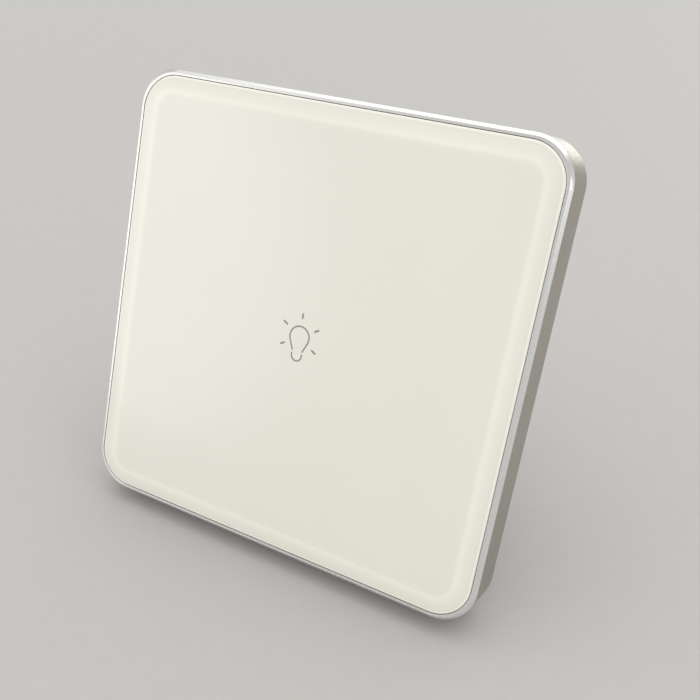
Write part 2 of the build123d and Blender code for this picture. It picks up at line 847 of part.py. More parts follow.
export_step(terminal_block.part, "parts/terminal_block.step")

tag_length = 6.4
tag_width = 4.4
solder_tail = 0.6

with BuildPart() as terminal_tags:
    with BuildSketch(at_depth(tag_rear)):
        with Locations((0, tag_leg_z - tag_length / 2 + tag_leg_thickness / 2)):
            with GridLocations(terminal_pitch, 0, 3, 1):
                Rectangle(tag_width, tag_length)
    extrude(amount=tag_thickness)
    with BuildSketch(at_depth(tag_rear)):
        with Locations((0, tag_leg_z)):
            with GridLocations(terminal_pitch, 0, 3, 1):
                Rectangle(tag_leg_width, tag_leg_thickness)
    extrude(amount=tag_rear - power_board_front + solder_tail)
terminal_tags.part.label = "terminal_tags"
export_step(terminal_tags.part, "parts/terminal_tags.step")

for number, terminal_x in enumerate(terminal_places, start=1):
    with BuildPart() as clamp_cage:
        cage_outline = Plane.XY.offset(screw_axis_z)
        with BuildSketch(cage_outline):
            with Locations((terminal_x, (cage_bottom + cage_top) / 2)):
                Rectangle(cage_width, cage_top - cage_bottom)
            with Locations((terminal_x, (cage_inner_bottom + cage_top - cage_top_wall) / 2)):
                Rectangle(
                    cage_width - 2 * cage_wall,
                    cage_top - cage_top_wall - cage_inner_bottom,
                    mode=Mode.SUBTRACT,
                )
        extrude(amount=cage_depth / 2, both=True)
        fillet(clamp_cage.edges().filter_by(Axis.Z).group_by(Axis.Y)[0], radius=cage_corner)
        with BuildSketch(at_depth(cage_top)):
            with Locations((terminal_x, screw_axis_z)):
                Circle(thread_radius + running_gap)
        extrude(amount=cage_top_wall, mode=Mode.SUBTRACT)
    clamp_cage.part.label = f"clamp_cage_{number}"
    export_step(clamp_cage.part, f"parts/clamp_cage_{number}.step")

    with BuildPart() as terminal_screw:
        with BuildSketch(turning_plane(terminal_x, screw_axis_z)):
            with BuildLine():
                Polyline(
                    (0, tag_rear + running_gap),
                    (thread_radius, tag_rear + running_gap),
                    (thread_radius, well_floor),
                    (screw_head_radius, well_floor),
                    (screw_head_radius, well_floor + screw_head_height),
                    (0, well_floor + screw_head_height),
                    close=True,
                )
            make_face()
        revolve(axis=depth_axis(terminal_x, screw_axis_z))
        with BuildSketch(at_depth(well_floor + screw_head_height)):
            with Locations((terminal_x, screw_axis_z)):
                Rectangle(2 * screw_head_radius, screw_slot_width)
                Rectangle(screw_slot_width, screw_cross_length)
        extrude(amount=screw_slot_depth, mode=Mode.SUBTRACT)
    terminal_screw.part.label = f"terminal_screw_{number}"
    export_step(terminal_screw.part, f"parts/terminal_screw_{number}.step")

# Relay: coil and yoke on a base, hinged armature that carries the contact blade

relay_width = 19.2
relay_height = 15.6
relay_wall = 0.8
relay_corner = 1.0
relay_bevel = 0.4
relay_top = 26.0
case_foot_gap = 0.3
base_thickness = 1.8
base_gap = 0.05
relay_base_top = power_board_back + base_thickness
yoke_thickness = 1.2
yoke_bend = 1.1
yoke_left = relay_x - 7.9
yoke_right = relay_x + 3.4
yoke_half = 4.5
pole_face = 22.2
core_x = relay_x - 1.1
core_radius = 2.0
core_fit = 0.03
core_head_radius = 3.1
bobbin_front = relay_base_top + yoke_thickness
bobbin_back = 21.6
flange_thickness = 0.8
flange_radius = 5.2
bobbin_tube_radius = 2.8
bobbin_fit = 0.05
coil_radius = 4.8
armature_half = 4.4
armature_bevel = 0.3
pivot_gap = 0.05
pivot_y = pole_face + pivot_gap
blade_thickness = 0.25
blade_start = 1.4
blade_overhang = 1.6
blade_half = 2.2
contact_radius = 1.2
contact_height = 0.8
contact_x = relay_x + 6.2
contact_gap = 0.05
contact_sheet = 0.6
contact_tab = 1.4
contact_half = 2.0
contact_post_x = relay_x + 8.4

with BuildPart() as relay_base:
    with BuildSketch(at_depth(relay_base_top)):
        with Locations((relay_x, relay_z)):
            base_inset = 2 * (relay_wall + base_gap)
            Rectangle(relay_width - base_inset, relay_height - base_inset)
    extrude(amount=relay_base_top - power_board_back)
relay_base.part.label = "relay_base"
export_step(relay_base.part, "parts/relay_base.step")

with BuildPart() as relay_case:
    with BuildSketch(at_depth(relay_top)):
        with Locations((relay_x, relay_z)):
            RectangleRounded(relay_width, relay_height, relay_corner)
    extrude(amount=relay_top - power_board_back - case_foot_gap)
    chamfer(relay_case.faces().sort_by(Axis.Y)[-1].edges(), length=relay_bevel)
    with BuildSketch(at_depth(relay_top - relay_wall)):
        with Locations((relay_x, relay_z)):
            Rectangle(relay_width - 2 * relay_wall, relay_height - 2 * relay_wall)
    extrude(amount=relay_top, mode=Mode.SUBTRACT)
relay_case.part.label = "relay_case"
export_step(relay_case.part, "parts/relay_case.step")

with BuildPart() as relay_yoke:
    with BuildSketch(Plane.XY.offset(relay_z)):
        with BuildLine():
            Polyline(
                (yoke_right, relay_base_top),
                (yoke_left, relay_base_top),
                (yoke_left, pole_face),
                (yoke_left + yoke_thickness, pole_face),
                (yoke_left + yoke_thickness, relay_base_top + yoke_thickness),
                (yoke_right, relay_base_top + yoke_thickness),
                close=True,
            )
        make_face()
    extrude(amount=yoke_half, both=True)
    bend = relay_yoke.edges().filter_by(Axis.Z).group_by(Axis.X)[0].sort_by(Axis.Y)[0]
    fillet(bend, radius=yoke_bend)
    with BuildSketch(at_depth(relay_base_top)):
        with Locations((core_x, relay_z)):
            Circle(core_radius)
    extrude(amount=-yoke_thickness, mode=Mode.SUBTRACT)
relay_yoke.part.label = "relay_yoke"
export_step(relay_yoke.part, "parts/relay_yoke.step")

with BuildPart() as relay_core:
    with BuildSketch(turning_plane(core_x, relay_z)):
        with BuildLine():
            Polyline(
                (0, relay_base_top),
                (core_radius - core_fit, relay_base_top),
                (core_radius - core_fit, bobbin_back),
                (core_head_radius, bobbin_back),
                (core_head_radius, pole_face),
                (0, pole_face),
                close=True,
            )
        make_face()
    revolve(axis=depth_axis(core_x, relay_z))
relay_core.part.label = "relay_core"
export_step(relay_core.part, "parts/relay_core.step")

with BuildPart() as relay_bobbin:
    with BuildSketch(turning_plane(core_x, relay_z)):
        with BuildLine():
            Polyline(
                (core_radius + bobbin_fit, bobbin_front),
                (flange_radius, bobbin_front),
                (flange_radius, bobbin_front + flange_thickness),
                (bobbin_tube_radius, bobbin_front + flange_thickness),
                (bobbin_tube_radius, bobbin_back - flange_thickness),
                (flange_radius, bobbin_back - flange_thickness),
                (flange_radius, bobbin_back),
                (core_radius + bobbin_fit, bobbin_back),
                close=True,
            )
        make_face()
    revolve(axis=depth_axis(core_x, relay_z))
relay_bobbin.part.label = "relay_bobbin"
export_step(relay_bobbin.part, "parts/relay_bobbin.step")

with BuildPart() as relay_coil:
    with BuildSketch(at_depth(bobbin_back - flange_thickness)):
        with Locations((core_x, relay_z)):
            Circle(coil_radius)
            Circle(bobbin_tube_radius + bobbin_fit, mode=Mode.SUBTRACT)
    extrude(amount=bobbin_back - bobbin_front - 2 * flange_thickness)
relay_coil.part.label = "relay_coil"
export_step(relay_coil.part, "parts/relay_coil.step")

# The armature is drawn in the plane that it lies in at rest, tilted about the pivot:
# local X runs along it from the pivot, local Y is its thickness, away from the pole
armature_plane = Plane(
    origin=(yoke_left, pivot_y, relay_z),
    x_dir=(math.cos(math.radians(armature_angle)), math.sin(math.radians(armature_angle)), 0),
    z_dir=(0, 0, 1),
)
armature_length = yoke_right - yoke_left
contact_reach = contact_x - yoke_left

with BuildPart() as relay_armature:
    with BuildSketch(armature_plane):
        with Locations((armature_length / 2, yoke_thickness / 2)):
            Rectangle(armature_length, yoke_thickness)
    extrude(amount=armature_half, both=True)
    chamfer(relay_armature.edges().filter_by(Axis.Z).group_by(Axis.X)[-1], length=armature_bevel)
relay_armature.part.label = "relay_armature"
export_step(relay_armature.part, "parts/relay_armature.step")

with BuildPart() as relay_contact_blade:
    with BuildSketch(armature_plane):
        blade_end = contact_reach + blade_overhang
        with Locations(((blade_start + blade_end) / 2, yoke_thickness + blade_thickness / 2)):
            Rectangle(blade_end - blade_start, blade_thickness)
    extrude(amount=blade_half, both=True)
    contact_plane = Plane(
        origin=armature_plane.from_local_coords((contact_reach, yoke_thickness, 0)),
        x_dir=armature_plane.x_dir,
        z_dir=armature_plane.y_dir,
    )
    with BuildSketch(contact_plane):
        Circle(contact_radius)
    extrude(amount=-contact_height)
relay_contact_blade.part.label = "relay_contact_blade"
export_step(relay_contact_blade.part, "parts/relay_contact_blade.step")

fixed_contact_top = pivot_y + yoke_thickness - contact_height - contact_gap
fixed_contact_seat = fixed_contact_top - contact_height

with BuildPart() as relay_fixed_contact:
    with BuildSketch(Plane.XY.offset(relay_z)):
        with BuildLine():
            Polyline(
                (contact_post_x, relay_base_top),
                (contact_post_x, fixed_contact_seat),
                (contact_x - contact_tab, fixed_contact_seat),
                (contact_x - contact_tab, fixed_contact_seat - contact_sheet),
                (contact_post_x - contact_sheet, fixed_contact_seat - contact_sheet),
                (contact_post_x - contact_sheet, relay_base_top),
                close=True,
            )
        make_face()
    extrude(amount=contact_half, both=True)
    with BuildSketch(at_depth(fixed_contact_top)):
        with Locations((contact_x, relay_z)):
            Circle(contact_radius)
    extrude(amount=contact_height)
relay_fixed_contact.part.label = "relay_fixed_contact"
export_step(relay_fixed_contact.part, "parts/relay_fixed_contact.step")

# Transformer: two ferrite halves round a wound bobbin

transformer_x = -13.2
transformer_z = 8.6
core_width = 13.0
core_front = 12.4
core_back = 24.4
core_half_depth = 3.0
limb_half = 1.5
window_outer = 4.9
window_front = 14.2
window_back = 22.6
bobbin_flange = 0.8
bobbin_tube_wall = 0.7
bobbin_gap = 0.05
flange_gap = 0.1
flange_overhang = 0.4
cut_overrun = 1.0
rail_width = 2.9
winding_half_width = 4.6
winding_half_height = 5.6
winding_corner = 1.4

with BuildPart() as transformer_core:
    with BuildSketch(Plane.XY.offset(transformer_z)):
        with Locations((transformer_x, (core_front + core_back) / 2)):
            Rectangle(core_width, core_back - core_front)
            window_middle = (limb_half + window_outer) / 2
            with GridLocations(2 * window_middle, 0, 2, 1):
                Rectangle(window_outer - limb_half, window_back - window_front, mode=Mode.SUBTRACT)
    extrude(amount=core_half_depth, both=True)
    split(bisect_by=at_depth((core_front + core_back) / 2), keep=Keep.BOTH)
transformer_core.part.label = "transformer_core"
export_step(transformer_core.part, "parts/transformer_core.step")

tube_half_width = limb_half + bobbin_tube_wall
tube_half_height = core_half_depth + bobbin_tube_wall
flange_width = 2 * (window_outer - flange_gap)

with BuildPart() as transformer_bobbin:
    with BuildSketch(at_depth(window_back - bobbin_gap)):
        with Locations((transformer_x, transformer_z)):
            Rectangle(flange_width, 2 * (winding_half_height + flange_overhang))
    extrude(amount=window_back - window_front - 2 * bobbin_gap)
    with BuildSketch(at_depth(window_back - bobbin_flange)):
        with Locations((transformer_x, transformer_z)):
            Rectangle(2 * window_outer, 2 * (winding_half_height + cut_overrun))
            Rectangle(2 * tube_half_width, 2 * tube_half_height, mode=Mode.SUBTRACT)
    extrude(amount=window_back - window_front - 2 * bobbin_flange, mode=Mode.SUBTRACT)
    # Rails that stand on the board at either side of the core
    with BuildSketch(at_depth(window_front + bobbin_flange)):
        with Locations((transformer_x, transformer_z)):
            with GridLocations(0, 2 * (core_half_depth + flange_gap) + rail_width, 1, 2):
                Rectangle(flange_width, rail_width)
    extrude(amount=window_front + bobbin_flange - power_board_back)
    with BuildSketch(at_depth(window_back)):
        with Locations((transformer_x, transformer_z)):
            Rectangle(2 * (limb_half + bobbin_gap), 2 * (core_half_depth + bobbin_gap))
    extrude(amount=window_back - window_front, mode=Mode.SUBTRACT)
transformer_bobbin.part.label = "transformer_bobbin"
export_step(transformer_bobbin.part, "parts/transformer_bobbin.step")

with BuildPart() as transformer_winding:
    with BuildSketch(at_depth(window_back - bobbin_flange - bobbin_gap)):
        with Locations((transformer_x, transformer_z)):
            RectangleRounded(2 * winding_half_width, 2 * winding_half_height, winding_corner)
            Rectangle(2 * tube_half_width, 2 * tube_half_height, mode=Mode.SUBTRACT)
    extrude(amount=window_back - window_front - 2 * (bobbin_flange + bobbin_gap))
transformer_winding.part.label = "transformer_winding"
export_step(transformer_winding.part, "parts/transformer_winding.step")

# Power supply and protection parts on the power board

groove_start = 1.2
groove_middle = 1.65
groove_end = 2.1
groove_depth = 0.3
can_bevel = 0.4


def make_can_capacitor(radius, height):
    """Electrolytic can along +Y from y = 0: rolled groove near the foot, bevelled top edge."""
    with BuildPart() as can:
        with BuildSketch(turning_plane(0, 0)):
            with BuildLine():
                Polyline(
                    (0, 0),
                    (radius, 0),
                    (radius, groove_start),
                    (radius - groove_depth, groove_middle),
                    (radius, groove_end),
                    (radius, height - can_bevel),
                    (radius - can_bevel, height),
                    (0, height),
                    close=True,
                )
            make_face()
        revolve(axis=Axis.Y)
    return can.part


bulk_capacitor = make_can_capacitor(radius=4.0, height=12.5)
bulk_capacitor_places = [(-1.2, 12.6), (7.8, 12.6)]

with BuildPart() as bulk_capacitors:
    with Locations(*[(x, power_board_back, z) for x, z in bulk_capacitor_places]):
        add(bulk_capacitor)
bulk_capacitors.part.label = "bulk_capacitors"
export_step(bulk_capacitors.part, "parts/bulk_capacitors.step")

output_capacitor_can = make_can_capacitor(radius=3.15, height=9.0)
output_capacitor_x = -7.2
output_capacitor_z = 24.6

with BuildPart() as output_capacitor:
    with Locations((output_capacitor_x, power_board_back, output_capacitor_z)):
        add(output_capacitor_can)
output_capacitor.part.label = "output_capacitor"
export_step(output_capacitor.part, "parts/output_capacitor.step")

film_capacitor_place = (7.6, -14.2)
film_capacitor_length = 13.0
film_capacitor_width = 5.0
film_capacitor_height = 11.0
film_capacitor_bevel = 0.5

with BuildPart() as film_capacitor:
    with BuildSketch(at_depth(power_board_back)):
        with Locations(film_capacitor_place):
            Rectangle(film_capacitor_length, film_capacitor_width)
    extrude(amount=-film_capacitor_height)
    chamfer(film_capacitor.faces().sort_by(Axis.Y)[-1].edges(), length=film_capacitor_bevel)
film_capacitor.part.label = "film_capacitor"
export_step(film_capacitor.part, "parts/film_capacitor.step")

varistor_x = 16.6
varistor_z = -4.2
disc_radius = 4.6
disc_thickness = 3.8
disc_bevel = 0.9
disc_height = 2.6
lead_spacing = 5.0
lead_side = 0.7
lead_bite = 1.0
disc_centre = power_board_back + disc_height + disc_radius

with BuildPart() as varistor:
    with BuildSketch(Plane.XY.offset(varistor_z - disc_thickness / 2)):
        with Locations((varistor_x, disc_centre)):
            Circle(disc_radius)
    extrude(amount=disc_thickness)
    chamfer(varistor.edges().filter_by(GeomType.CIRCLE), length=disc_bevel)
    with BuildSketch(at_depth(power_board_back)):
        with Locations((varistor_x, varistor_z)):
            with GridLocations(lead_spacing, 0, 2, 1):
                Rectangle(lead_side, lead_side)
    extrude(amount=-(disc_centre - power_board_back - lead_bite))
varistor.part.label = "varistor"
export_step(varistor.part, "parts/varistor.step")

fuse_place = (6.4, -6.6)
fuse_length = 8.4
fuse_width = 4.2
fuse_height = 7.6
fuse_bevel = 0.4

with BuildPart() as fuse:
    with BuildSketch(at_depth(power_board_back)):
        with Locations(fuse_place):
            Rectangle(fuse_length, fuse_width)
    extrude(amount=-fuse_height)
    chamfer(fuse.faces().sort_by(Axis.Y)[-1].edges(), length=fuse_bevel)
fuse.part.label = "fuse"
export_step(fuse.part, "parts/fuse.step")

choke_x = 6.4
choke_z = 1.6
drum_radius = 3.6
drum_waist = 1.6
drum_height = 8.1
drum_flange = 1.1
drum_lower = power_board_back + drum_flange
drum_upper = power_board_back + drum_height - drum_flange
choke_winding_radius = 3.1
choke_winding_gap = 0.05

with BuildPart() as choke_core:
    with BuildSketch(turning_plane(choke_x, choke_z)):
        with BuildLine():
            Polyline(
                (0, power_board_back),
                (drum_radius, power_board_back),
                (drum_radius, drum_lower),
                (drum_waist, drum_lower),
                (drum_waist, drum_upper),
                (drum_radius, drum_upper),
                (drum_radius, power_board_back + drum_height),
                (0, power_board_back + drum_height),
                close=True,
            )
        make_face()
    revolve(axis=depth_axis(choke_x, choke_z))
choke_core.part.label = "choke_core"
export_step(choke_core.part, "parts/choke_core.step")

with BuildPart() as choke_winding:
    with BuildSketch(at_depth(drum_upper)):
        with Locations((choke_x, choke_z)):
            Circle(choke_winding_radius)
            Circle(drum_waist + choke_winding_gap, mode=Mode.SUBTRACT)
    extrude(amount=drum_upper - drum_lower)
choke_winding.part.label = "choke_winding"
export_step(choke_winding.part, "parts/choke_winding.step")

rectifier_place = (18.2, 5.8)
rectifier_width = 6.0
rectifier_height = 4.8
rectifier_depth = 2.6
rectifier_bevel = 0.3
rectifier_leg_spacing_x = 4.0
rectifier_leg_spacing_z = 6.0
rectifier_leg_width = 0.8
rectifier_leg_length = 1.4
rectifier_leg_sheet = 0.3

with BuildPart() as rectifier:
    with BuildSketch(at_depth(power_board_back)):
        with Locations(rectifier_place):
            Rectangle(rectifier_width, rectifier_height)
    extrude(amount=-rectifier_depth)
    chamfer(rectifier.faces().sort_by(Axis.Y)[-1].edges(), length=rectifier_bevel)
    with BuildSketch(at_depth(power_board_back)):
        with Locations(rectifier_place):
            with GridLocations(rectifier_leg_spacing_x, rectifier_leg_spacing_z, 2, 2):
                Rectangle(rectifier_leg_width, rectifier_leg_length)
    extrude(amount=-rectifier_leg_sheet)
rectifier.part.label = "rectifier"
export_step(rectifier.part, "parts/rectifier.step")
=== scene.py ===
import json
import math

import bmesh
import bpy
from mathutils import Matrix, Vector


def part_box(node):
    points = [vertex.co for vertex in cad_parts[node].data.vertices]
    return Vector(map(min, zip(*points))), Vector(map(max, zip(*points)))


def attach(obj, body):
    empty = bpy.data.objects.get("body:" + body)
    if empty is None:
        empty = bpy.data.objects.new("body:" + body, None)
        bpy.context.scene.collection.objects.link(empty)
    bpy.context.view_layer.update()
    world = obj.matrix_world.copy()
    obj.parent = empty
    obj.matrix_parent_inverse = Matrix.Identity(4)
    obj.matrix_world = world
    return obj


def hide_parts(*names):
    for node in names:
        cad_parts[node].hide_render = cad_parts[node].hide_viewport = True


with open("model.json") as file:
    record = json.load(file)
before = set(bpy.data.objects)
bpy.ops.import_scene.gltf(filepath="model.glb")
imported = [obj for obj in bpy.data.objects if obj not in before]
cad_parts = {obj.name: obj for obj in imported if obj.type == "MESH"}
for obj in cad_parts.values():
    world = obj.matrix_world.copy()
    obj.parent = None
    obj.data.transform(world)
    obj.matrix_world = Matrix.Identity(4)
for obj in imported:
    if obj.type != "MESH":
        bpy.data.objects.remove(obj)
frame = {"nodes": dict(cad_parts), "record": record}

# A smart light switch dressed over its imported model: a glass touch front in an
# aluminium frame, a steel mounting plate, and a rear housing with wire terminals.
# Metres, in the frame of the part: +X right, +Y into the wall, +Z up.

MM = 0.001
FRONT = "front_panel"
MODULE = "wall_module"
# Points nearer to each other than this become one
WELD = 0.0005 * MM

scene = bpy.context.scene
nodes = frame["nodes"]
bpy.context.view_layer.update()


# Meshes


def link_mesh(name, bm, body, material, sharp_angle=30):
    """Turns a bmesh into a piece that rides on a body, and has sharp edges past an angle.

    The angle is in degrees. The material may be a list, from which each face picks one."""
    bmesh.ops.recalc_face_normals(bm, faces=bm.faces)
    mesh = bpy.data.meshes.new(name)
    bm.to_mesh(mesh)
    bm.free()
    for polygon in mesh.polygons:
        polygon.use_smooth = True
    mesh.set_sharp_from_angle(angle=math.radians(sharp_angle))
    piece = bpy.data.objects.new(name, mesh)
    scene.collection.objects.link(piece)
    paints = material if isinstance(material, list) else [material]
    for paint in paints:
        mesh.materials.append(paint)
    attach(piece, body)
    return piece


def stand_in(node, suffix, bm, sharp_angle):
    """Piece with the body and finish of a packed one, which it stands for."""
    slot = slot_of[node]
    piece = link_mesh(node + suffix, bm, body_of[node], finishes[slot], sharp_angle)
    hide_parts(node)
    return piece


def rounded_square(half, corner, steps):
    """Points (x, z) round a square with rounded corners, anticlockwise from its right side."""
    points = []
    for quarter in range(4):
        turn = quarter * math.pi / 2
        middle = half - corner
        centre = Matrix.Rotation(turn, 2) @ Vector((middle, middle))
        for step in range(steps + 1):
            angle = turn + step / steps * math.pi / 2
            points.append(centre + corner * Vector((math.cos(angle), math.sin(angle))))
    return points


def loft_squares(bm, rings, steps, closed):
    """Skins rounded squares given as (half width, corner radius, depth), and caps open ends.

    Each vertex also keeps how far its square lies inside the largest one, as "inset"."""
    inset = bm.verts.layers.float.new("inset")
    widest = max(half for half, corner, depth in rings)
    loops = []
    for half, corner, depth in rings:
        loop = [bm.verts.new((x, depth, z)) for x, z in rounded_square(half, corner, steps)]
        for vertex in loop:
            vertex[inset] = widest - half
        loops.append(loop)
    count = len(loops[0])
    pairs = list(zip(loops, loops[1:]))
    if closed:
        pairs.append((loops[-1], loops[0]))
    faces = []
    for first, second in pairs:
        strip = []
        for i in range(count):
            j = (i + 1) % count
            strip.append(bm.faces.new((first[i], first[j], second[j], second[i])))
        faces.append(strip)
    if not closed:
        bm.faces.new(loops[0])
        bm.faces.new(loops[-1])
    return faces


def round_corners(profile):
    """Rounds the corners of a closed profile of (inset, depth, corner radius, rounding).

    Returns (inset, depth, corner radius, number of the profile corner it came from)."""
    steps = 3
    rounded = []
    count = len(profile)
    for i, (inset, depth, corner, rounding) in enumerate(profile):
        here = Vector((inset, depth))
        if rounding == 0:
            rounded.append((inset, depth, corner, i))
            continue
        before = (Vector(profile[i - 1][:2]) - here).normalized()
        after = (Vector(profile[(i + 1) % count][:2]) - here).normalized()
        half_angle = before.angle(after) / 2
        reach = rounding / math.tan(half_angle)
        centre = here + (before + after).normalized() * rounding / math.sin(half_angle)
        start = here + before * reach - centre
        end = here + after * reach - centre
        for step in range(steps + 1):
            point = centre + start.slerp(end, step / steps) * rounding
            rounded.append((point.x, point.y, corner + inset - point.x, i))
    return rounded


def ribbon(bm, points, width, depths):
    """Flat stroke with round ends along (x, z) points, between two depths."""
    end_steps = 6
    half = width / 2
    points = [Vector(p) for p in points]
    left = []
    right = []
    for i, point in enumerate(points):
        before = point - points[i - 1] if i > 0 else points[1] - point
        after = points[i + 1] - point if i < len(points) - 1 else before
        along = (before.normalized() + after.normalized()).normalized()
        across = Vector((-along.y, along.x)) * half
        left.append(point + across)
        right.append(point - across)
    outline = list(left)
    outline += round_end(points[-1], left[-1], end_steps)
    outline += reversed(right)
    outline += round_end(points[0], right[0], end_steps)
    extrude_outline(bm, outline, depths)


def round_end(centre, start, steps):
    """Points of a half circle that starts at a point and turns clockwise, ends left out."""
    arm = start - centre
    found = []
    for step in range(1, steps):
        turn = Matrix.Rotation(-math.pi * step / steps, 2)
        found.append(centre + turn @ arm)
    return found


def extrude_outline(bm, outline, depths):
    """Closed prism over an (x, z) outline, between two depths."""
    ahead, behind = [[bm.verts.new((x, depth, z)) for x, z in outline] for depth in depths]
    bm.faces.new(ahead)
    bm.faces.new(behind)
    count = len(outline)
    for i in range(count):
        j = (i + 1) % count
        bm.faces.new((ahead[i], ahead[j], behind[j], behind[i]))


def cross_outline(centre, half_width, reach, turn):
    """Outline of a cross with equal arms, turned by an angle."""
    outline = []
    for quarter in range(4):
        arm = Matrix.Rotation(turn + quarter * math.pi / 2, 2)
        for corner in ((half_width, half_width), (half_width, reach), (-half_width, reach)):
            outline.append(Vector(centre) + arm @ Vector(corner))
    return outline


def arc(centre, radius, start, end, steps):
    """Points of an arc in the plane of the face, angles in degrees."""
    found = []
    for step in range(steps + 1):
        angle = math.radians(start + (end - start) * step / steps)
        found.append(Vector(centre) + radius * Vector((math.cos(angle), math.sin(angle))))
    return found


def lathe(bm, profile, centre, segments=32, forward=1):
    """Turns a profile of (radius, height) round an axis square to the wall.

    Heights count from the centre, into the wall where forward is 1, to the room where -1."""
    x, y, z = centre
    rings = []
    for radius, height in profile:
        depth = y + forward * height
        if radius == 0:
            rings.append([bm.verts.new((x, depth, z))])
            continue
        ring = []
        for i in range(segments):
            angle = 2 * math.pi * i / segments
            ring.append(bm.verts.new((x + radius * math.cos(angle), depth, z + radius * math.sin(angle))))
        rings.append(ring)
    for first, second in zip(rings, rings[1:]):
        for i in range(segments):
            j = (i + 1) % segments
            ahead = [first[i % len(first)], first[j % len(first)]]
            behind = [second[j % len(second)], second[i % len(second)]]
            bm.faces.new(list(dict.fromkeys(ahead + behind)))


def carve(piece, cutter_bm):
    """Takes a shape out of a piece for good."""
    bmesh.ops.recalc_face_normals(cutter_bm, faces=cutter_bm.faces)
    cutter_mesh = bpy.data.meshes.new("cutter")
    cutter_bm.to_mesh(cutter_mesh)
    cutter_bm.free()
    cutter = bpy.data.objects.new("cutter", cutter_mesh)
    scene.collection.objects.link(cutter)
    cut = piece.modifiers.new("cut", "BOOLEAN")
    cut.operation = "DIFFERENCE"
    cut.solver = "EXACT"
    cut.object = cutter
    bpy.context.view_layer.update()
    solved = piece.evaluated_get(bpy.context.evaluated_depsgraph_get())
    piece.data = bpy.data.meshes.new_from_object(solved)
    piece.modifiers.clear()
    bpy.data.objects.remove(cutter)
    bpy.data.meshes.remove(cutter_mesh)


def tube_along(bm, points, radius):
    """Round wire along a line of points, closed at both ends."""
    sides = 10
    rings = []
    for i, point in enumerate(points):
        ahead = points[min(i + 1, len(points) - 1)]
        behind = points[max(i - 1, 0)]
        along = (ahead - behind).normalized()
        out = along.cross(Vector((0, 1, 0))).normalized()
        up = along.cross(out)
        ring = []
        for side in range(sides):
            angle = 2 * math.pi * side / sides
            ring.append(bm.verts.new(point + radius * (math.cos(angle) * out + math.sin(angle) * up)))
        rings.append(ring)
    for first, second in zip(rings, rings[1:]):
        for i in range(sides):
            j = (i + 1) % sides
            bm.faces.new((first[i], first[j], second[j], second[i]))
    bm.faces.new(rings[0])
    bm.faces.new(rings[-1])


def rounded_copy(node, width):
    """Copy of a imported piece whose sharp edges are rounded, and which stands for it."""
    flat_angle = math.radians(0.5)
    sharp_angle = 35
    bm = bmesh.new()
    bm.from_mesh(nodes[node].data)
    bmesh.ops.remove_doubles(bm, verts=bm.verts, dist=WELD)
    bmesh.ops.dissolve_limit(bm, angle_limit=flat_angle, verts=bm.verts, edges=bm.edges)
    sharp = []
    for edge in bm.edges:
        if len(edge.link_faces) == 2 and edge.calc_face_angle() > math.radians(sharp_angle):
            sharp.append(edge)
    bmesh.ops.bevel(
        bm, geom=sharp, offset=width, offset_type="OFFSET", segments=2,
        profile=0.5, affect="EDGES", clamp_overlap=True,
    )
    return stand_in(node, "_rounded", bm, sharp_angle)


def keep_flats(piece):
    """Shades large faces flat and leaves the turn to the narrow faces between them."""
    weighted = piece.modifiers.new("flats", "WEIGHTED_NORMAL")
    weighted.keep_sharp = True


# Materials

# The wave texture multiplies a coordinate by this and by its scale
WAVE_PHASE = 20


def combine(tree, operation, first, second):
    """Value that a math node makes of two others."""
    made = tree.nodes.new("ShaderNodeMath")
    made.operation = operation
    tree.links.new(first, made.inputs[0])
    tree.links.new(second, made.inputs[1])
    return made.outputs["Value"]


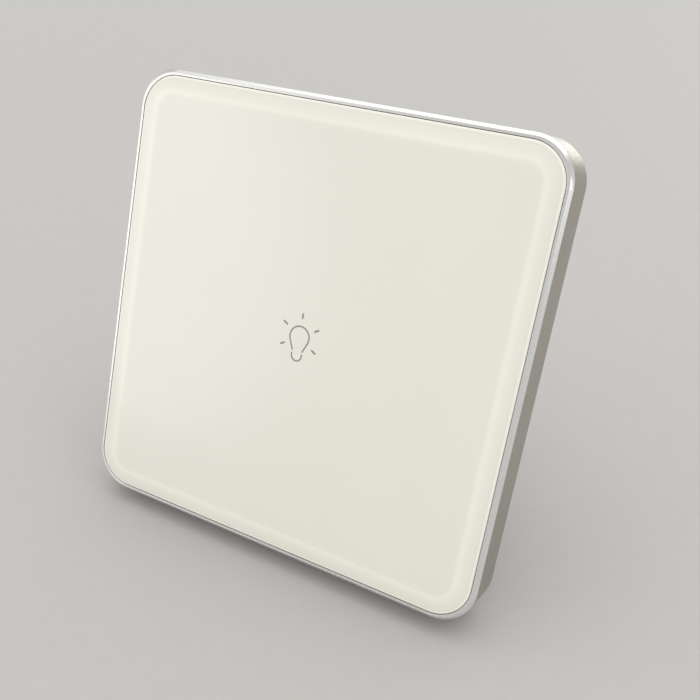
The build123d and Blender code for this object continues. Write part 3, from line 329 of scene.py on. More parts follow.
class Paint:
    """One procedural material: a Principled shader and the textures that feed it."""

    def __init__(self, name, colour, roughness, metallic=0.0):
        self.material = bpy.data.materials.new(name)
        self.material.use_nodes = True
        self.tree = self.material.node_tree
        self.shader = self.tree.nodes["Principled BSDF"]
        self.colour = colour
        self.set("Base Color", (*colour, 1.0))
        self.set("Roughness", roughness)
        self.set("Metallic", metallic)

    def set(self, socket, value):
        """Gives a socket of the shader one value for the whole surface."""
        self.shader.inputs[socket].default_value = value

    def coat(self, weight, roughness):
        """Clear layer over the rest."""
        self.set("Coat Weight", weight)
        self.set("Coat Roughness", roughness)

    def node(self, kind, **values):
        """New node with its settings."""
        made = self.tree.nodes.new(kind)
        for name, value in values.items():
            setattr(made, name, value)
        return made

    def join(self, source, target):
        """Link between two sockets."""
        self.tree.links.new(source, target)

    def feed(self, source, socket):
        """Link from a texture to a socket of the shader."""
        self.join(source, self.shader.inputs[socket])

    def place(self, stretch=(1, 1, 1)):
        """Coordinates of the piece itself, stretched along its axes."""
        coordinates = self.node("ShaderNodeTexCoord")
        mapping = self.node("ShaderNodeMapping")
        mapping.inputs["Scale"].default_value = stretch
        self.join(coordinates.outputs["Object"], mapping.inputs["Vector"])
        return mapping.outputs["Vector"]

    def grain(self, size, stretch=(1, 1, 1)):
        """Noise whose features are about one size, in metres."""
        texture = self.node("ShaderNodeTexNoise")
        texture.inputs["Scale"].default_value = 1 / size
        texture.inputs["Detail"].default_value = 3.0
        self.join(self.place(stretch), texture.inputs["Vector"])
        return texture.outputs["Fac"]

    def wave(self, direction, period, distortion=0.0):
        """Even stripes across one axis, their period in metres."""
        texture = self.node("ShaderNodeTexWave", bands_direction=direction)
        texture.inputs["Scale"].default_value = 2 * math.pi / (WAVE_PHASE * period)
        texture.inputs["Distortion"].default_value = distortion
        self.join(self.place(), texture.inputs["Vector"])
        return texture.outputs["Fac"]

    def ranged(self, source, low, high, start=0.3, end=0.7):
        """Value spread over a new range."""
        spread = self.node("ShaderNodeMapRange")
        for name, value in (("From Min", start), ("From Max", end), ("To Min", low), ("To Max", high)):
            spread.inputs[name].default_value = value
        self.join(source, spread.inputs["Value"])
        return spread.outputs["Result"]

    def edge_mask(self, radius, strength):
        """A strength on sharp edges that falls to 0 on flat faces.

        It compares the true normal with one rounded over a radius, by the cosine of the
        angle between them."""
        cosine_on_edge = 0.90
        cosine_on_flat = 0.99
        rounded = self.node("ShaderNodeBevel", samples=4)
        rounded.inputs["Radius"].default_value = radius
        plain = self.node("ShaderNodeNewGeometry")
        likeness = self.node("ShaderNodeVectorMath", operation="DOT_PRODUCT")
        self.join(rounded.outputs["Normal"], likeness.inputs[0])
        self.join(plain.outputs["Normal"], likeness.inputs[1])
        return self.ranged(likeness.outputs["Value"], strength, 0.0, cosine_on_edge, cosine_on_flat)

    def lighten_edges(self, radius, brighter, strength=0.6):
        """Lightens what feeds the colour along sharp edges."""
        source = self.shader.inputs["Base Color"].links[0].from_socket
        edge_colour = [min(1.0, c * brighter) for c in self.colour]
        mix = self.node("ShaderNodeMix", data_type="RGBA")
        self.join(self.edge_mask(radius, strength), mix.inputs["Factor"])
        self.join(source, mix.inputs["A"])
        mix.inputs["B"].default_value = (*edge_colour, 1.0)
        self.feed(mix.outputs["Result"], "Base Color")

    def vary_colour(self, size, amount, tint=(1.0, 1.0, 1.0)):
        """Drifts between a darker and a lighter shade of the colour."""
        darker = [c * (1 - amount) for c in self.colour]
        lighter = [min(1.0, c * t * (1 + amount)) for c, t in zip(self.colour, tint)]
        mix = self.node("ShaderNodeMix", data_type="RGBA")
        mix.inputs["A"].default_value = (*darker, 1.0)
        mix.inputs["B"].default_value = (*lighter, 1.0)
        self.join(self.ranged(self.grain(size), 0.0, 1.0), mix.inputs["Factor"])
        self.feed(mix.outputs["Result"], "Base Color")

    def vary_roughness(self, size, low, high, stretch=(1, 1, 1)):
        """Drifts between two roughnesses."""
        self.feed(self.ranged(self.grain(size, stretch), low, high), "Roughness")

    def relief(self, source, height):
        """Bump that follows a texture, its height in metres."""
        made = self.node("ShaderNodeBump")
        made.inputs["Distance"].default_value = height
        self.join(source, made.inputs["Height"])
        self.feed(made.outputs["Normal"], "Normal")

    def bump(self, size, height, stretch=(1, 1, 1)):
        """Relief from noise."""
        self.relief(self.grain(size, stretch), height)


def moulded(name, colour, roughness, grain=0.12 * MM, depth=0.012 * MM):
    """Injection-moulded plastic with a spark-eroded texture."""
    paint = Paint(name, colour, roughness)
    paint.vary_colour(size=2.5 * MM, amount=0.012)
    paint.vary_roughness(size=1.5 * MM, low=roughness - 0.06, high=roughness + 0.08)
    paint.bump(size=grain, height=depth)
    return paint.material


def rolled_metal(name, colour, roughness, stretch=(1, 1, 12)):
    """Sheet or turned metal with fine drawn lines, slight stains and bright edges."""
    paint = Paint(name, colour, roughness, metallic=1.0)
    paint.vary_colour(size=3 * MM, amount=0.05, tint=(1.02, 1.0, 0.96))
    # Edges drawn lighter than the rest of the metal
    paint.lighten_edges(radius=0.15 * MM, brighter=1.3)
    paint.vary_roughness(size=0.7 * MM, low=roughness - 0.08, high=roughness + 0.10, stretch=stretch)
    paint.bump(size=0.08 * MM, height=0.004 * MM, stretch=stretch)
    return paint.material


def coated_board(name, colour):
    """Circuit board under solder mask: glossy, with the weave just showing."""
    weave_period = 2.2 * MM
    paint = Paint(name, colour, roughness=0.32)
    paint.vary_colour(size=1.2 * MM, amount=0.06)
    paint.vary_roughness(size=2 * MM, low=0.25, high=0.42)
    warp = paint.wave("X", weave_period, distortion=1.0)
    weft = paint.wave("Z", weave_period, distortion=1.0)
    paint.relief(combine(paint.tree, "MULTIPLY", warp, weft), height=0.01 * MM)
    paint.coat(weight=0.4, roughness=0.15)
    return paint.material


def wound_wire(name, colour, pitch):
    """Winding of fine wire: one ridge for each turn."""
    paint = Paint(name, colour, roughness=0.3, metallic=0.7)
    paint.vary_colour(size=1.0 * MM, amount=0.12)
    paint.relief(paint.wave("Y", period=pitch), height=pitch / 3)
    return paint.material


def printed_glass_with_painted_highlight():
    """White print behind clear glass.

    Over the rounded border the colour carries painted highlight and shade: lighter than the flat face at the
    outer edge and most along the line where the border starts to fall away, with a painted darker line just
    inside the outer edge."""
    paint = Paint("printed_glass_with_painted_highlight", (0.81, 0.793, 0.706), roughness=0.35)
    # Millimetres from the outer edge, and how light the colour is painted there: painted highlight and shade
    # of the border
    painted_border_light = [
        (0.0, 0.92), (0.3, 0.92), (0.6, 0.795), (1.0, 0.825),
        (2.0, 0.845), (2.7, 0.885), (3.15, 0.89), (3.8, 0.82), (5.0, 0.81),
    ]
    flat_level = painted_border_light[-1][1]
    reach = 6 * MM
    # Painted highlight and shade of the border, by how far a point lies inside the outer edge
    inset = paint.node("ShaderNodeAttribute", attribute_name="inset")
    ramp = paint.node("ShaderNodeValToRGB")
    paint.join(paint.ranged(inset.outputs["Fac"], 0.0, 1.0, start=0.0, end=reach), ramp.inputs["Fac"])
    # A new ramp has two stops already
    elements = ramp.color_ramp.elements
    for i, (distance, level) in enumerate(painted_border_light):
        stop = elements[i] if i < 2 else elements.new(1.0)
        stop.position = distance * MM / reach
        stop.color = (level, level, level, 1.0)
    drift = paint.ranged(paint.grain(size=30 * MM), low=0.992, high=1.008)
    tinted = paint.node("ShaderNodeVectorMath", operation="SCALE")
    tinted.inputs[0].default_value = [c / flat_level for c in paint.colour]
    paint.join(combine(paint.tree, "MULTIPLY", ramp.outputs["Color"], drift), tinted.inputs["Scale"])
    paint.feed(tinted.outputs["Vector"], "Base Color")
    paint.coat(weight=1.0, roughness=0.02)
    paint.set("Coat IOR", 1.52)
    return paint.material


def glass_edge():
    """The ground edge of the glass, where its green shows."""
    paint = Paint("glass_edge", (0.70, 0.74, 0.71), roughness=0.18)
    paint.vary_colour(size=2 * MM, amount=0.03)
    paint.coat(weight=1.0, roughness=0.05)
    return paint.material


def satin_aluminium():
    """Blasted and anodised side wall: fine even grain."""
    # Its colour is darker and warmer than the bare metal's: partly the metal's own tone, partly painted
    # shade and a painted warm reflection
    paint = Paint("satin_aluminium", (0.46, 0.436, 0.388), roughness=0.42, metallic=1.0)
    paint.vary_colour(size=9 * MM, amount=0.03, tint=(1.0, 0.99, 0.97))
    paint.vary_roughness(size=0.4 * MM, low=0.36, high=0.50)
    paint.bump(size=0.06 * MM, height=0.006 * MM)
    return paint.material


def rim_aluminium():
    """Narrow rim round the glass, smoother and cooler than the side wall."""
    paint = Paint("rim_aluminium", (0.84, 0.84, 0.85), roughness=0.28, metallic=1.0)
    paint.vary_roughness(size=0.4 * MM, low=0.24, high=0.34)
    paint.bump(size=0.1 * MM, height=0.002 * MM)
    return paint.material


def polished_aluminium():
    """Chamfer cut bright after anodising, with faint cutter lines."""
    paint = Paint("polished_aluminium", (0.88, 0.88, 0.86), roughness=0.2, metallic=1.0)
    paint.vary_roughness(size=0.5 * MM, low=0.16, high=0.26)
    paint.bump(size=0.25 * MM, height=0.0008 * MM)
    return paint.material


def icon_ink():
    """Grey print of the icon."""
    paint = Paint("icon_ink", (0.27, 0.262, 0.225), roughness=0.5)
    paint.vary_colour(size=0.3 * MM, amount=0.05)
    paint.coat(weight=1.0, roughness=0.03)
    return paint.material


def lamp_resin():
    """Clear yellow resin of the lamp over its reflector."""
    paint = Paint("lamp_resin", (0.88, 0.80, 0.42), roughness=0.2)
    paint.vary_colour(size=0.3 * MM, amount=0.06)
    paint.set("Transmission Weight", 0.3)
    return paint.material


def frosted(name, colour):
    """Milky plastic that passes light."""
    paint = Paint(name, colour, roughness=0.55)
    paint.vary_colour(size=1.5 * MM, amount=0.02)
    paint.bump(size=0.1 * MM, height=0.006 * MM)
    paint.set("Subsurface Weight", 0.3)
    paint.set("Subsurface Scale", 1.0 * MM)
    return paint.material


def ceramic_chip():
    """Small fired parts of the boards: brown, and slightly rough."""
    paint = Paint("ceramic_chip", (0.42, 0.34, 0.25), roughness=0.4)
    paint.vary_colour(size=0.8 * MM, amount=0.12)
    paint.bump(size=0.15 * MM, height=0.006 * MM)
    return paint.material


def sintered(name, colour):
    """Ferrite: dark, matt and slightly pitted."""
    paint = Paint(name, colour, roughness=0.6)
    paint.vary_colour(size=0.5 * MM, amount=0.15)
    paint.vary_roughness(size=0.3 * MM, low=0.5, high=0.75)
    paint.bump(size=0.2 * MM, height=0.02 * MM)
    return paint.material


def glossy_skin(name, colour, roughness=0.22):
    """Shrink sleeve, tape or dipped lacquer: smooth with soft waves."""
    paint = Paint(name, colour, roughness)
    paint.vary_colour(size=1.5 * MM, amount=0.05)
    paint.vary_roughness(size=0.8 * MM, low=roughness - 0.05, high=roughness + 0.12)
    paint.bump(size=0.9 * MM, height=0.02 * MM)
    paint.coat(weight=0.3, roughness=0.1)
    return paint.material


finishes = {
    "white_glass": printed_glass_with_painted_highlight(),
    "frame_aluminium": satin_aluminium(),
    "foam_tape": moulded("foam_tape", (0.78, 0.78, 0.76), 0.85, grain=0.3 * MM, depth=0.03 * MM),
    "carrier_plastic": moulded("carrier_plastic", (0.80, 0.80, 0.78), 0.42),
    "screw_steel": rolled_metal("screw_steel", (0.60, 0.60, 0.58), 0.28),
    "spring_steel": rolled_metal("spring_steel", (0.52, 0.53, 0.55), 0.25, stretch=(12, 1, 1)),
    "white_board": coated_board("white_board", (0.76, 0.78, 0.76)),
    "green_board": coated_board("green_board", (0.02, 0.16, 0.07)),
    "gold_spring": rolled_metal("gold_spring", (0.83, 0.62, 0.26), 0.2),
    "tin_plate": rolled_metal("tin_plate", (0.68, 0.68, 0.67), 0.22, stretch=(1, 1, 6)),
    "black_plastic": moulded("black_plastic", (0.022, 0.022, 0.024), 0.4, grain=0.08 * MM, depth=0.006 * MM),
    "lamp_plastic": lamp_resin(),
    "frosted_plastic": frosted("frosted_plastic", (0.86, 0.86, 0.84)),
    "pin_brass": rolled_metal("pin_brass", (0.84, 0.66, 0.32), 0.25, stretch=(1, 8, 1)),
    "zinc_steel": rolled_metal("zinc_steel", (0.60, 0.61, 0.63), 0.34, stretch=(10, 1, 1)),
    "housing_plastic": moulded(
        "housing_plastic", (0.78, 0.78, 0.76), 0.48, grain=0.18 * MM, depth=0.016 * MM,
    ),
    "terminal_plastic": moulded("terminal_plastic", (0.06, 0.065, 0.075), 0.42),
    "terminal_brass": rolled_metal("terminal_brass", (0.76, 0.58, 0.27), 0.32),
    "soft_iron": rolled_metal("soft_iron", (0.47, 0.47, 0.46), 0.3),
    "relay_plastic": glossy_skin("relay_plastic", (0.02, 0.09, 0.34), 0.28),
    "copper_wire": wound_wire("copper_wire", (0.62, 0.24, 0.10), 0.12 * MM),
    "ferrite": sintered("ferrite", (0.06, 0.06, 0.065)),
    "winding_tape": glossy_skin("winding_tape", (0.84, 0.58, 0.06)),
    "can_sleeve": glossy_skin("can_sleeve", (0.03, 0.035, 0.05)),
    "yellow_box": moulded("yellow_box", (0.80, 0.50, 0.06), 0.35),
    "blue_lacquer": glossy_skin("blue_lacquer", (0.02, 0.10, 0.34)),
    "chip_ceramic": ceramic_chip(),
}
slot_of = {row["node"]: row["material_slot"] for row in frame["record"]["subparts"]}
body_of = {}
for body, members in frame["record"]["behaviour"]["bodies"].items():
    for member in members:
        body_of[member] = body

for name, piece in nodes.items():
    piece.data.materials.clear()
    piece.data.materials.append(finishes[slot_of[name]])


# Front: aluminium frame

frame_low, frame_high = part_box("aluminium_frame")
face_half = frame_high.x
face_corner = 7.8 * MM
corner_steps = 28
chamfer = 0.6 * MM
rim_inset = 1.1 * MM
rim_front = frame_low.y
opening_corner = 7.0 * MM
shelf_inset = 4.5 * MM
shelf_corner = 4.8 * MM
shelf_depth = 2.35 * MM
shelf_thickness = 1.2 * MM
shelf_front = rim_front + shelf_depth
shelf_back = shelf_front + shelf_thickness
wall_inset = 1.3 * MM
wall_corner = 6.5 * MM
back_chamfer = 0.25 * MM
soft_edge = 0.05 * MM
soft_rim = 0.06 * MM
soft_chamfer = 0.10 * MM

SIDE_WALL = 0
BRIGHT_CUT = 1
RIM = 2

# Profile corners as (inset from the outer face, depth, corner radius, rounding)
frame_profile = [
    (0.0, rim_front + chamfer, face_corner, soft_chamfer),
    (chamfer, rim_front, face_corner - chamfer, soft_chamfer),
    (rim_inset, rim_front, opening_corner, soft_rim),
    (rim_inset, shelf_front, opening_corner, 0.0),
    (shelf_inset, shelf_front, shelf_corner, soft_edge),
    (shelf_inset, shelf_back, shelf_corner, soft_edge),
    (wall_inset, shelf_back, wall_corner, 0.0),
    (wall_inset, 0.0, wall_corner, soft_edge),
    (back_chamfer, 0.0, face_corner - back_chamfer, soft_edge),
    (0.0, -back_chamfer, face_corner, soft_edge),
]
# Which paint a strip has, by the profile corners at its two sides, where it isn't side wall
strip_paint = {(0, 1): BRIGHT_CUT, (1, 1): BRIGHT_CUT, (1, 2): RIM, (8, 9): BRIGHT_CUT}

bm = bmesh.new()
rounded = round_corners(frame_profile)
rings = [(face_half - inset, corner, depth) for inset, depth, corner, came_from in rounded]
strips = loft_squares(bm, rings, corner_steps, closed=True)
for i, strip in enumerate(strips):
    edge = (rounded[i][3], rounded[(i + 1) % len(rounded)][3])
    for face in strip:
        face.material_index = strip_paint.get(edge, SIDE_WALL)
frame_paints = [finishes["frame_aluminium"], polished_aluminium(), rim_aluminium()]
frame_shell = link_mesh("frame_shell", bm, FRONT, frame_paints, sharp_angle=28)
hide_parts("aluminium_frame")

# Notch in the lower edge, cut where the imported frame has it

notch_width = 10.0 * MM
notch_front = -1.0 * MM
cutter_depth = 4 * MM
cutter_height = 6 * MM
bm = bmesh.new()
bmesh.ops.create_cube(bm, size=1.0)
bmesh.ops.scale(bm, vec=(notch_width, cutter_depth, cutter_height), verts=bm.verts)
bmesh.ops.translate(bm, vec=(0, notch_front + cutter_depth / 2, -face_half), verts=bm.verts)
carve(frame_shell, bm)
keep_flats(frame_shell)

# Front: glass, a flat slab whose border falls away with a fine crease at its start

glass_low, glass_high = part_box("glass_panel")
glass_front = glass_low.y
glass_back = glass_high.y
gap_narrowed = 0.04 * MM
glass_half = glass_high.x + gap_narrowed
glass_corner = 6.9 * MM
inner_insets = (10 * MM, 5 * MM)
inner_corner = 2 * MM
border_width = 3.6 * MM
border_drop = 0.35 * MM
border_steps = 14
crease_slope = math.tan(math.radians(2.5))
border_bend = (border_drop - crease_slope * border_width) / border_width**2
glass_round = 0.28 * MM
round_steps = 6
glass_chamfer = 0.1 * MM

PRINT = 0
GROUND_EDGE = 1


def glass_ring(inset, depth):
    """Rounded square of the glass, as the loft takes it."""
    return (glass_half - inset, glass_corner - inset, depth)


rings = [(glass_half - inset, inner_corner, glass_front) for inset in inner_insets]
for step in range(border_steps + 1):
    run = (border_width - glass_round) * step / border_steps
    rings.append(glass_ring(border_width - run, glass_front + crease_slope * run + border_bend * run**2))
round_start = rings[-1][2]
for step in range(1, round_steps + 1):
    angle = step / round_steps * math.pi / 2
    inset = glass_round * (1 - math.sin(angle))
    rings.append(glass_ring(inset, round_start + glass_round * (1 - math.cos(angle))))
rings.append(glass_ring(0, glass_back - glass_chamfer))
rings.append(glass_ring(glass_chamfer, glass_back))

# The print ends before the last two strips of the rounding
printed_strips = len(inner_insets) + border_steps + round_steps - 2
bm = bmesh.new()
strips = loft_squares(bm, rings, corner_steps, closed=False)
for i, strip in enumerate(strips):
    for face in strip:
        face.material_index = PRINT if i < printed_strips else GROUND_EDGE
glass_paints = [finishes["white_glass"], glass_edge()]
glass_slab = link_mesh("glass_slab", bm, FRONT, glass_paints, sharp_angle=20)
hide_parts("glass_panel")

# Front: light bulb icon with five rays, its places measured from the middle of the bulb

stroke = 0.30 * MM
ray_stroke = 0.38 * MM
bulb_radius = 2.02 * MM
neck_half = 1.05 * MM
neck_end = -2.6 * MM
cap_top = -3.2 * MM
cap_centre = -3.5 * MM
bulb_steps = 48
cap_steps = 24
# In millimetres
ray_starts = [(0, 3.6), (2.98, 1.78), (-2.98, 1.78), (2.98, -1.78), (-2.98, -1.78)]
ray_length = 0.78 * MM
icon_lift = 0.006 * MM
icon_shift = Vector((0.27 * MM, 0.03 * MM))

neck = Vector((neck_half, neck_end))
neck_angle = math.degrees(math.atan2(neck.y, neck.x))
tangent_angle = neck_angle + math.degrees(math.acos(bulb_radius / neck.length))
bulb = arc((0, 0), bulb_radius, tangent_angle, 180 - tangent_angle, bulb_steps)
bulb = [neck] + bulb + [Vector((-neck_half, neck_end))]
cap = [Vector((-neck_half, cap_top))]
cap += arc((0, cap_centre), neck_half, 180, 360, cap_steps)
cap += [Vector((neck_half, cap_top))]
strokes = [(bulb, stroke), (cap, stroke)]
for place in ray_starts:
    start = Vector(place) * MM
    end = start + start.normalized() * ray_length
    strokes.append(([start, end], ray_stroke))
bm = bmesh.new()
for line, width in strokes:
    shifted = [point + icon_shift for point in line]
    ribbon(bm, shifted, width, (glass_front - icon_lift, glass_front + icon_lift))
link_mesh("bulb_icon", bm, FRONT, icon_ink())


# Screws with domed heads and cross recesses


def screw_set(node, places, forward, head_radius, head_height, shank_radius):
    """Screws at (x, z) places in millimetres, for a packed group whose depth they keep.

    Forward is 1 where the heads point into the wall and -1 where they point to the room."""
    low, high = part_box(node)
    seat = high.y - head_height if forward > 0 else low.y + head_height
    length = high.y - low.y - head_height
    tip_length = 0.4 * MM
    tip_radius = 0.8 * shank_radius
    dome_start = 0.35 * head_height
    dome_steps = 6
    profile = [(0, -length), (tip_radius, -length), (shank_radius, tip_length - length), (shank_radius, 0)]
    profile.append((head_radius, 0))
    for step in range(dome_steps):
        angle = step / dome_steps * math.pi / 2
        height = dome_start + (head_height - dome_start) * math.sin(angle)
        profile.append((head_radius * math.cos(angle), height))
    profile.append((0, head_height))
    places = [Vector(place) * MM for place in places]
    bm = bmesh.new()
    for x, z in places:
        lathe(bm, profile, (x, seat, z), forward=forward)
    screws = stand_in(node, "_turned", bm, sharp_angle=40)

    recess_half = 0.16 * head_radius
    recess_reach = 0.56 * head_radius
    recess_floor = seat + forward * 0.25 * head_height
    recess_top = seat + forward * (head_height + 0.1 * MM)
    first_turn = 0.7
    turn_between = 1.9
    recess = bmesh.new()
    for number, place in enumerate(places):
        outline = cross_outline(place, recess_half, recess_reach, first_turn + turn_between * number)
        extrude_outline(recess, outline, (recess_top, recess_floor))
    carve(screws, recess)


# In millimetres
post_x = 21.2
post_z = 27.6
carrier_reach = 40.2
screw_set(
    "plate_screws", [(x, z) for z in (-post_z, post_z) for x in (-post_x, post_x)],
    forward=-1, head_radius=2.5 * MM, head_height=1.2 * MM, shank_radius=1.3 * MM,
)
screw_set(
    "carrier_screws", [(carrier_reach, 0), (0, carrier_reach), (-carrier_reach, 0), (0, -carrier_reach)],
    forward=1, head_radius=1.4 * MM, head_height=0.4 * MM, shank_radius=0.8 * MM,
)
screw_set(
    "touch_board_screws", [(-14, 20), (14, -20)],
    forward=1, head_radius=1.8 * MM, head_height=1.1 * MM, shank_radius=0.8 * MM,
)
screw_set(
    "power_board_screws", [(-19.8, 21.8), (19.8, 18.5), (19.6, -14.2)],
    forward=-1, head_radius=2.0 * MM, head_height=1.4 * MM, shank_radius=1.0 * MM,
)

# Touch spring of round wire, its end coils lying flat

spring_low, spring_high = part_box("touch_spring")
wire_radius = 0.2 * MM
coil_radius = spring_high.x - wire_radius
coil_front = spring_low.y + wire_radius
coil_back = spring_high.y - wire_radius
spring_turns = 4
steps_per_turn = 40
flat_share = 0.18
steps = spring_turns * steps_per_turn
points = []
for step in range(steps + 1):
    share = step / steps
    rise = (share - flat_share) / (1 - 2 * flat_share)
    depth = coil_back + (coil_front - coil_back) * min(1.0, max(0.0, rise))
    angle = 2 * math.pi * spring_turns * share
    points.append(Vector((coil_radius * math.cos(angle), depth, coil_radius * math.sin(angle))))
bm = bmesh.new()
tube_along(bm, points, wire_radius)
stand_in("touch_spring", "_wire", bm, sharp_angle=60)

# Windings: one ridge for each turn, between the flanges of the coil's former


def wind(node, axis, core, wire, turns_shown):
    """Layer of wire round an axis square to the wall, given as (x, z) in millimetres."""
    x, z = Vector(axis) * MM
    low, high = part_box(node)
    valley = high.x - x - wire
    pitch = (high.y - low.y) / turns_shown
    ridge_steps = 6
    profile = [(core, low.y), (valley, low.y)]
    for turn in range(turns_shown):
        middle = low.y + (turn + 0.5) * pitch
        for step in range(1, ridge_steps):
            angle = math.pi * step / ridge_steps
            profile.append((valley + wire * math.sin(angle), middle - pitch / 2 * math.cos(angle)))
        profile.append((valley, middle + pitch / 2))
    profile += [(core, high.y), (core, low.y)]
    bm = bmesh.new()
    lathe(bm, profile, (x, 0, z), segments=48)
    bmesh.ops.remove_doubles(bm, verts=bm.verts, dist=WELD)
    stand_in(node, "_turns", bm, sharp_angle=50)


wind("relay_coil", (-13.7, -8.8), core=2.85 * MM, wire=0.12 * MM, turns_shown=26)
wind("choke_winding", (6.4, 1.6), core=1.65 * MM, wire=0.25 * MM, turns_shown=12)

# Capacitor tops: the bare aluminium inside the turned-over sleeve, scored with a cross


def can_tops(name, node, places, radius):
    """Discs on the cans of a packed group, at (x, z) places in millimetres.

    Each is scored with the cross where it may open."""
    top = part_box(node)[1].y
    sunk = 0.1 * MM
    rim_height = 0.05 * MM
    disc_height = 0.09 * MM
    rim_radius = radius - 0.75 * MM
    flat_radius = radius - 0.95 * MM
    score_half = 0.14 * MM
    score_reach = radius - 1.4 * MM
    score_overrun = 0.2 * MM
    disc = [
        (0, -sunk), (rim_radius, -sunk), (rim_radius, rim_height),
        (flat_radius, disc_height), (0, disc_height),
    ]
    bm = bmesh.new()
    scores = bmesh.new()
    for place in places:
        x, z = Vector(place) * MM
        lathe(bm, disc, (x, top, z))
        outline = cross_outline((x, z), score_half, score_reach, math.pi / 4)
        extrude_outline(scores, outline, (top - score_overrun, top + score_overrun))
    piece = link_mesh(name, bm, MODULE, finishes["tin_plate"], sharp_angle=40)
    carve(piece, scores)


bulk_places = [(-1.2, 12.6), (7.8, 12.6)]
output_place = (-7.2, 24.6)
can_tops("bulk_capacitor_tops", "bulk_capacitors", bulk_places, radius=4.0 * MM)
can_tops("output_capacitor_top", "output_capacitor", [output_place], radius=3.15 * MM)

# Boards: solder joints, tinned tracks, pads and the aerial of the radio, with all their
# (x, z) places in millimetres

board_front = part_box("power_board")[0].y
touch_front, touch_back = (corner.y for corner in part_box("touch_board"))
radio_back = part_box("radio_board")[1].y
track_lift = 0.035 * MM
power_copper = (board_front - track_lift, board_front)
touch_copper = (touch_back, touch_back + track_lift)
radio_copper = (radio_back, radio_back + track_lift)


def solder_joints(name, places, base, body, radius):
    """Cones of solder with a wire end in their tips, on the room side of a board."""
    sunk = 0.05 * MM
    # (radius, height) from the board to the wire's end
    joint = [
        (0, -sunk), (radius, -sunk), (radius, 0.04 * MM), (0.72 * radius, 0.12 * MM),
        (0.5 * radius, 0.27 * MM), (0.38 * radius, 0.33 * MM), (0, 0.34 * MM),
    ]
    bm = bmesh.new()
    for x, z in places:
        lathe(bm, joint, (x * MM, base, z * MM), segments=20, forward=-1)
    link_mesh(name, bm, body, finishes["tin_plate"], sharp_angle=50)


def tracks(name, routes, depths, body, slot, width):
    """Flat copper along (x, z) routes, between two depths."""
    bm = bmesh.new()
    for route in routes:
        ribbon(bm, [Vector(point) * MM for point in route], width, depths)
    link_mesh(name, bm, body, finishes[slot])


def pin_pair(place, pitch):
    """The two pins of a part, either side of its middle."""
    x, z = place
    return [(x - pitch / 2, z), (x + pitch / 2, z)]


relay_pins = [(-18.6, -12.8), (-18.6, -4.8), (-6.6, -12.8), (-6.6, -4.8)]
transformer_pins = [(x, z) for x in (-17.0, -13.2, -9.4) for z in (3.7, 13.5)]
film_pins = pin_pair((7.6, -13.6), pitch=10.0)
fuse_pins = pin_pair((6.4, -6.6), pitch=5.0)
varistor_pins = pin_pair((16.6, -4.2), pitch=5.0)
choke_pins = pin_pair((6.4, 1.6), pitch=5.0)
bulk_pins = pin_pair(bulk_places[0], pitch=3.5) + pin_pair(bulk_places[1], pitch=3.5)
output_pins = pin_pair(output_place, pitch=2.5)
terminal_pins = [(x, -22.5) for x in (-10, 0, 10)]
header_pitch = 2.54
header_pins = [(header_pitch * (number - 3.5), -16.0) for number in range(8)]

board_pins = relay_pins + transformer_pins + film_pins + fuse_pins
board_pins += varistor_pins + choke_pins + bulk_pins + output_pins
solder_joints("power_board_joints", board_pins, board_front, MODULE, radius=0.85 * MM)
solder_joints("terminal_joints", terminal_pins, board_front, MODULE, radius=1.75 * MM)
solder_joints("header_joints", header_pins, touch_front, FRONT, radius=0.8 * MM)

mains_routes = [
    [terminal_pins[0], (-14, -21), (-17.5, -17.5), relay_pins[0]],
    [terminal_pins[1], (-4.5, -20.5), (-6.6, -17.5), relay_pins[2]],
    [terminal_pins[2], (14, -21), (16, -17.5), (16, -9), varistor_pins[0]],
    [film_pins[1], (16, -13.2)],
    [film_pins[0], (3.2, -10), fuse_pins[0]],
    [fuse_pins[1], choke_pins[1]],
]
tracks("mains_tracks", mains_routes, power_copper, MODULE, "tin_plate", width=1.5 * MM)
supply_routes = [
    [choke_pins[0], (1.5, 3.5), (0.55, 6.0), bulk_pins[1]],
    [bulk_pins[2], (7.05, 9.9)],
    [bulk_pins[0], (-6.5, 13.5), transformer_pins[5]],
    [transformer_pins[4], (-5.0, 3.7), (-2.6, 6.6)],
    [transformer_pins[3], (-13.2, 18.0), (-8.45, 22.0), output_pins[0]],
    [bulk_pins[3], (12.5, 12.0), (13.6, 8.0), (10.4, 8.0)],
]
tracks("supply_tracks", supply_routes, power_copper, MODULE, "tin_plate", width=0.6 * MM)

aerial_left = -8.6
aerial_feed = 15.0
aerial_low = 16.2
aerial_high = 19.8
rung_pitch = 2.4
aerial = [(aerial_left, aerial_feed)]
for rung in range(6):
    start = aerial_left + rung_pitch * rung
    middle = start + rung_pitch / 2
    end = start + rung_pitch
    aerial += [(start, aerial_high), (middle, aerial_high), (middle, aerial_low), (end, aerial_low)]
tracks("radio_aerial", [aerial], radio_copper, FRONT, "gold_spring", width=0.45 * MM)

radio_left = -10.0
radio_right = 6.0
first_pad = -1.2
pad_pitch = 2.0
pad_start = 0.05
pad_end = 1.1
edge_pads = []
for edge, inward in ((radio_left, 1.0), (radio_right, -1.0)):
    for number in range(8):
        z = first_pad + pad_pitch * number
        edge_pads.append([(edge + pad_start * inward, z), (edge + pad_end * inward, z)])
tracks("radio_pads", edge_pads, (touch_back, radio_copper[1]), FRONT, "gold_spring", width=1.0 * MM)

touch_routes = [
    [(9.95, 0.1), (6.0, 0.1), (3.6, 0.1)],
    [(16.0, 3.9), (18.6, 3.4)],
    [(9.95, 3.9), (8.2, 5.0), (8.2, 8.0), (10.4, 8.0)],
    [(13.0, -4.4), (13.0, -10.0), (8.89, -13.2), header_pins[7]],
    [(10.4, -4.4), (9.0, -6.0), (6.35, -12.0), header_pins[6]],
    [(-10.0, -9.0), (-8.0, -11.0), (-6.35, -13.0), header_pins[1]],
    [(-14.0, -0.2), (-15.5, -4.0), (-12.5, -12.0), (-8.89, -14.0), header_pins[0]],
]
tracks("touch_board_tracks", touch_routes, touch_copper, FRONT, "white_board", width=0.3 * MM)

# Gold ring on the touch board, where the spring's end coil rests

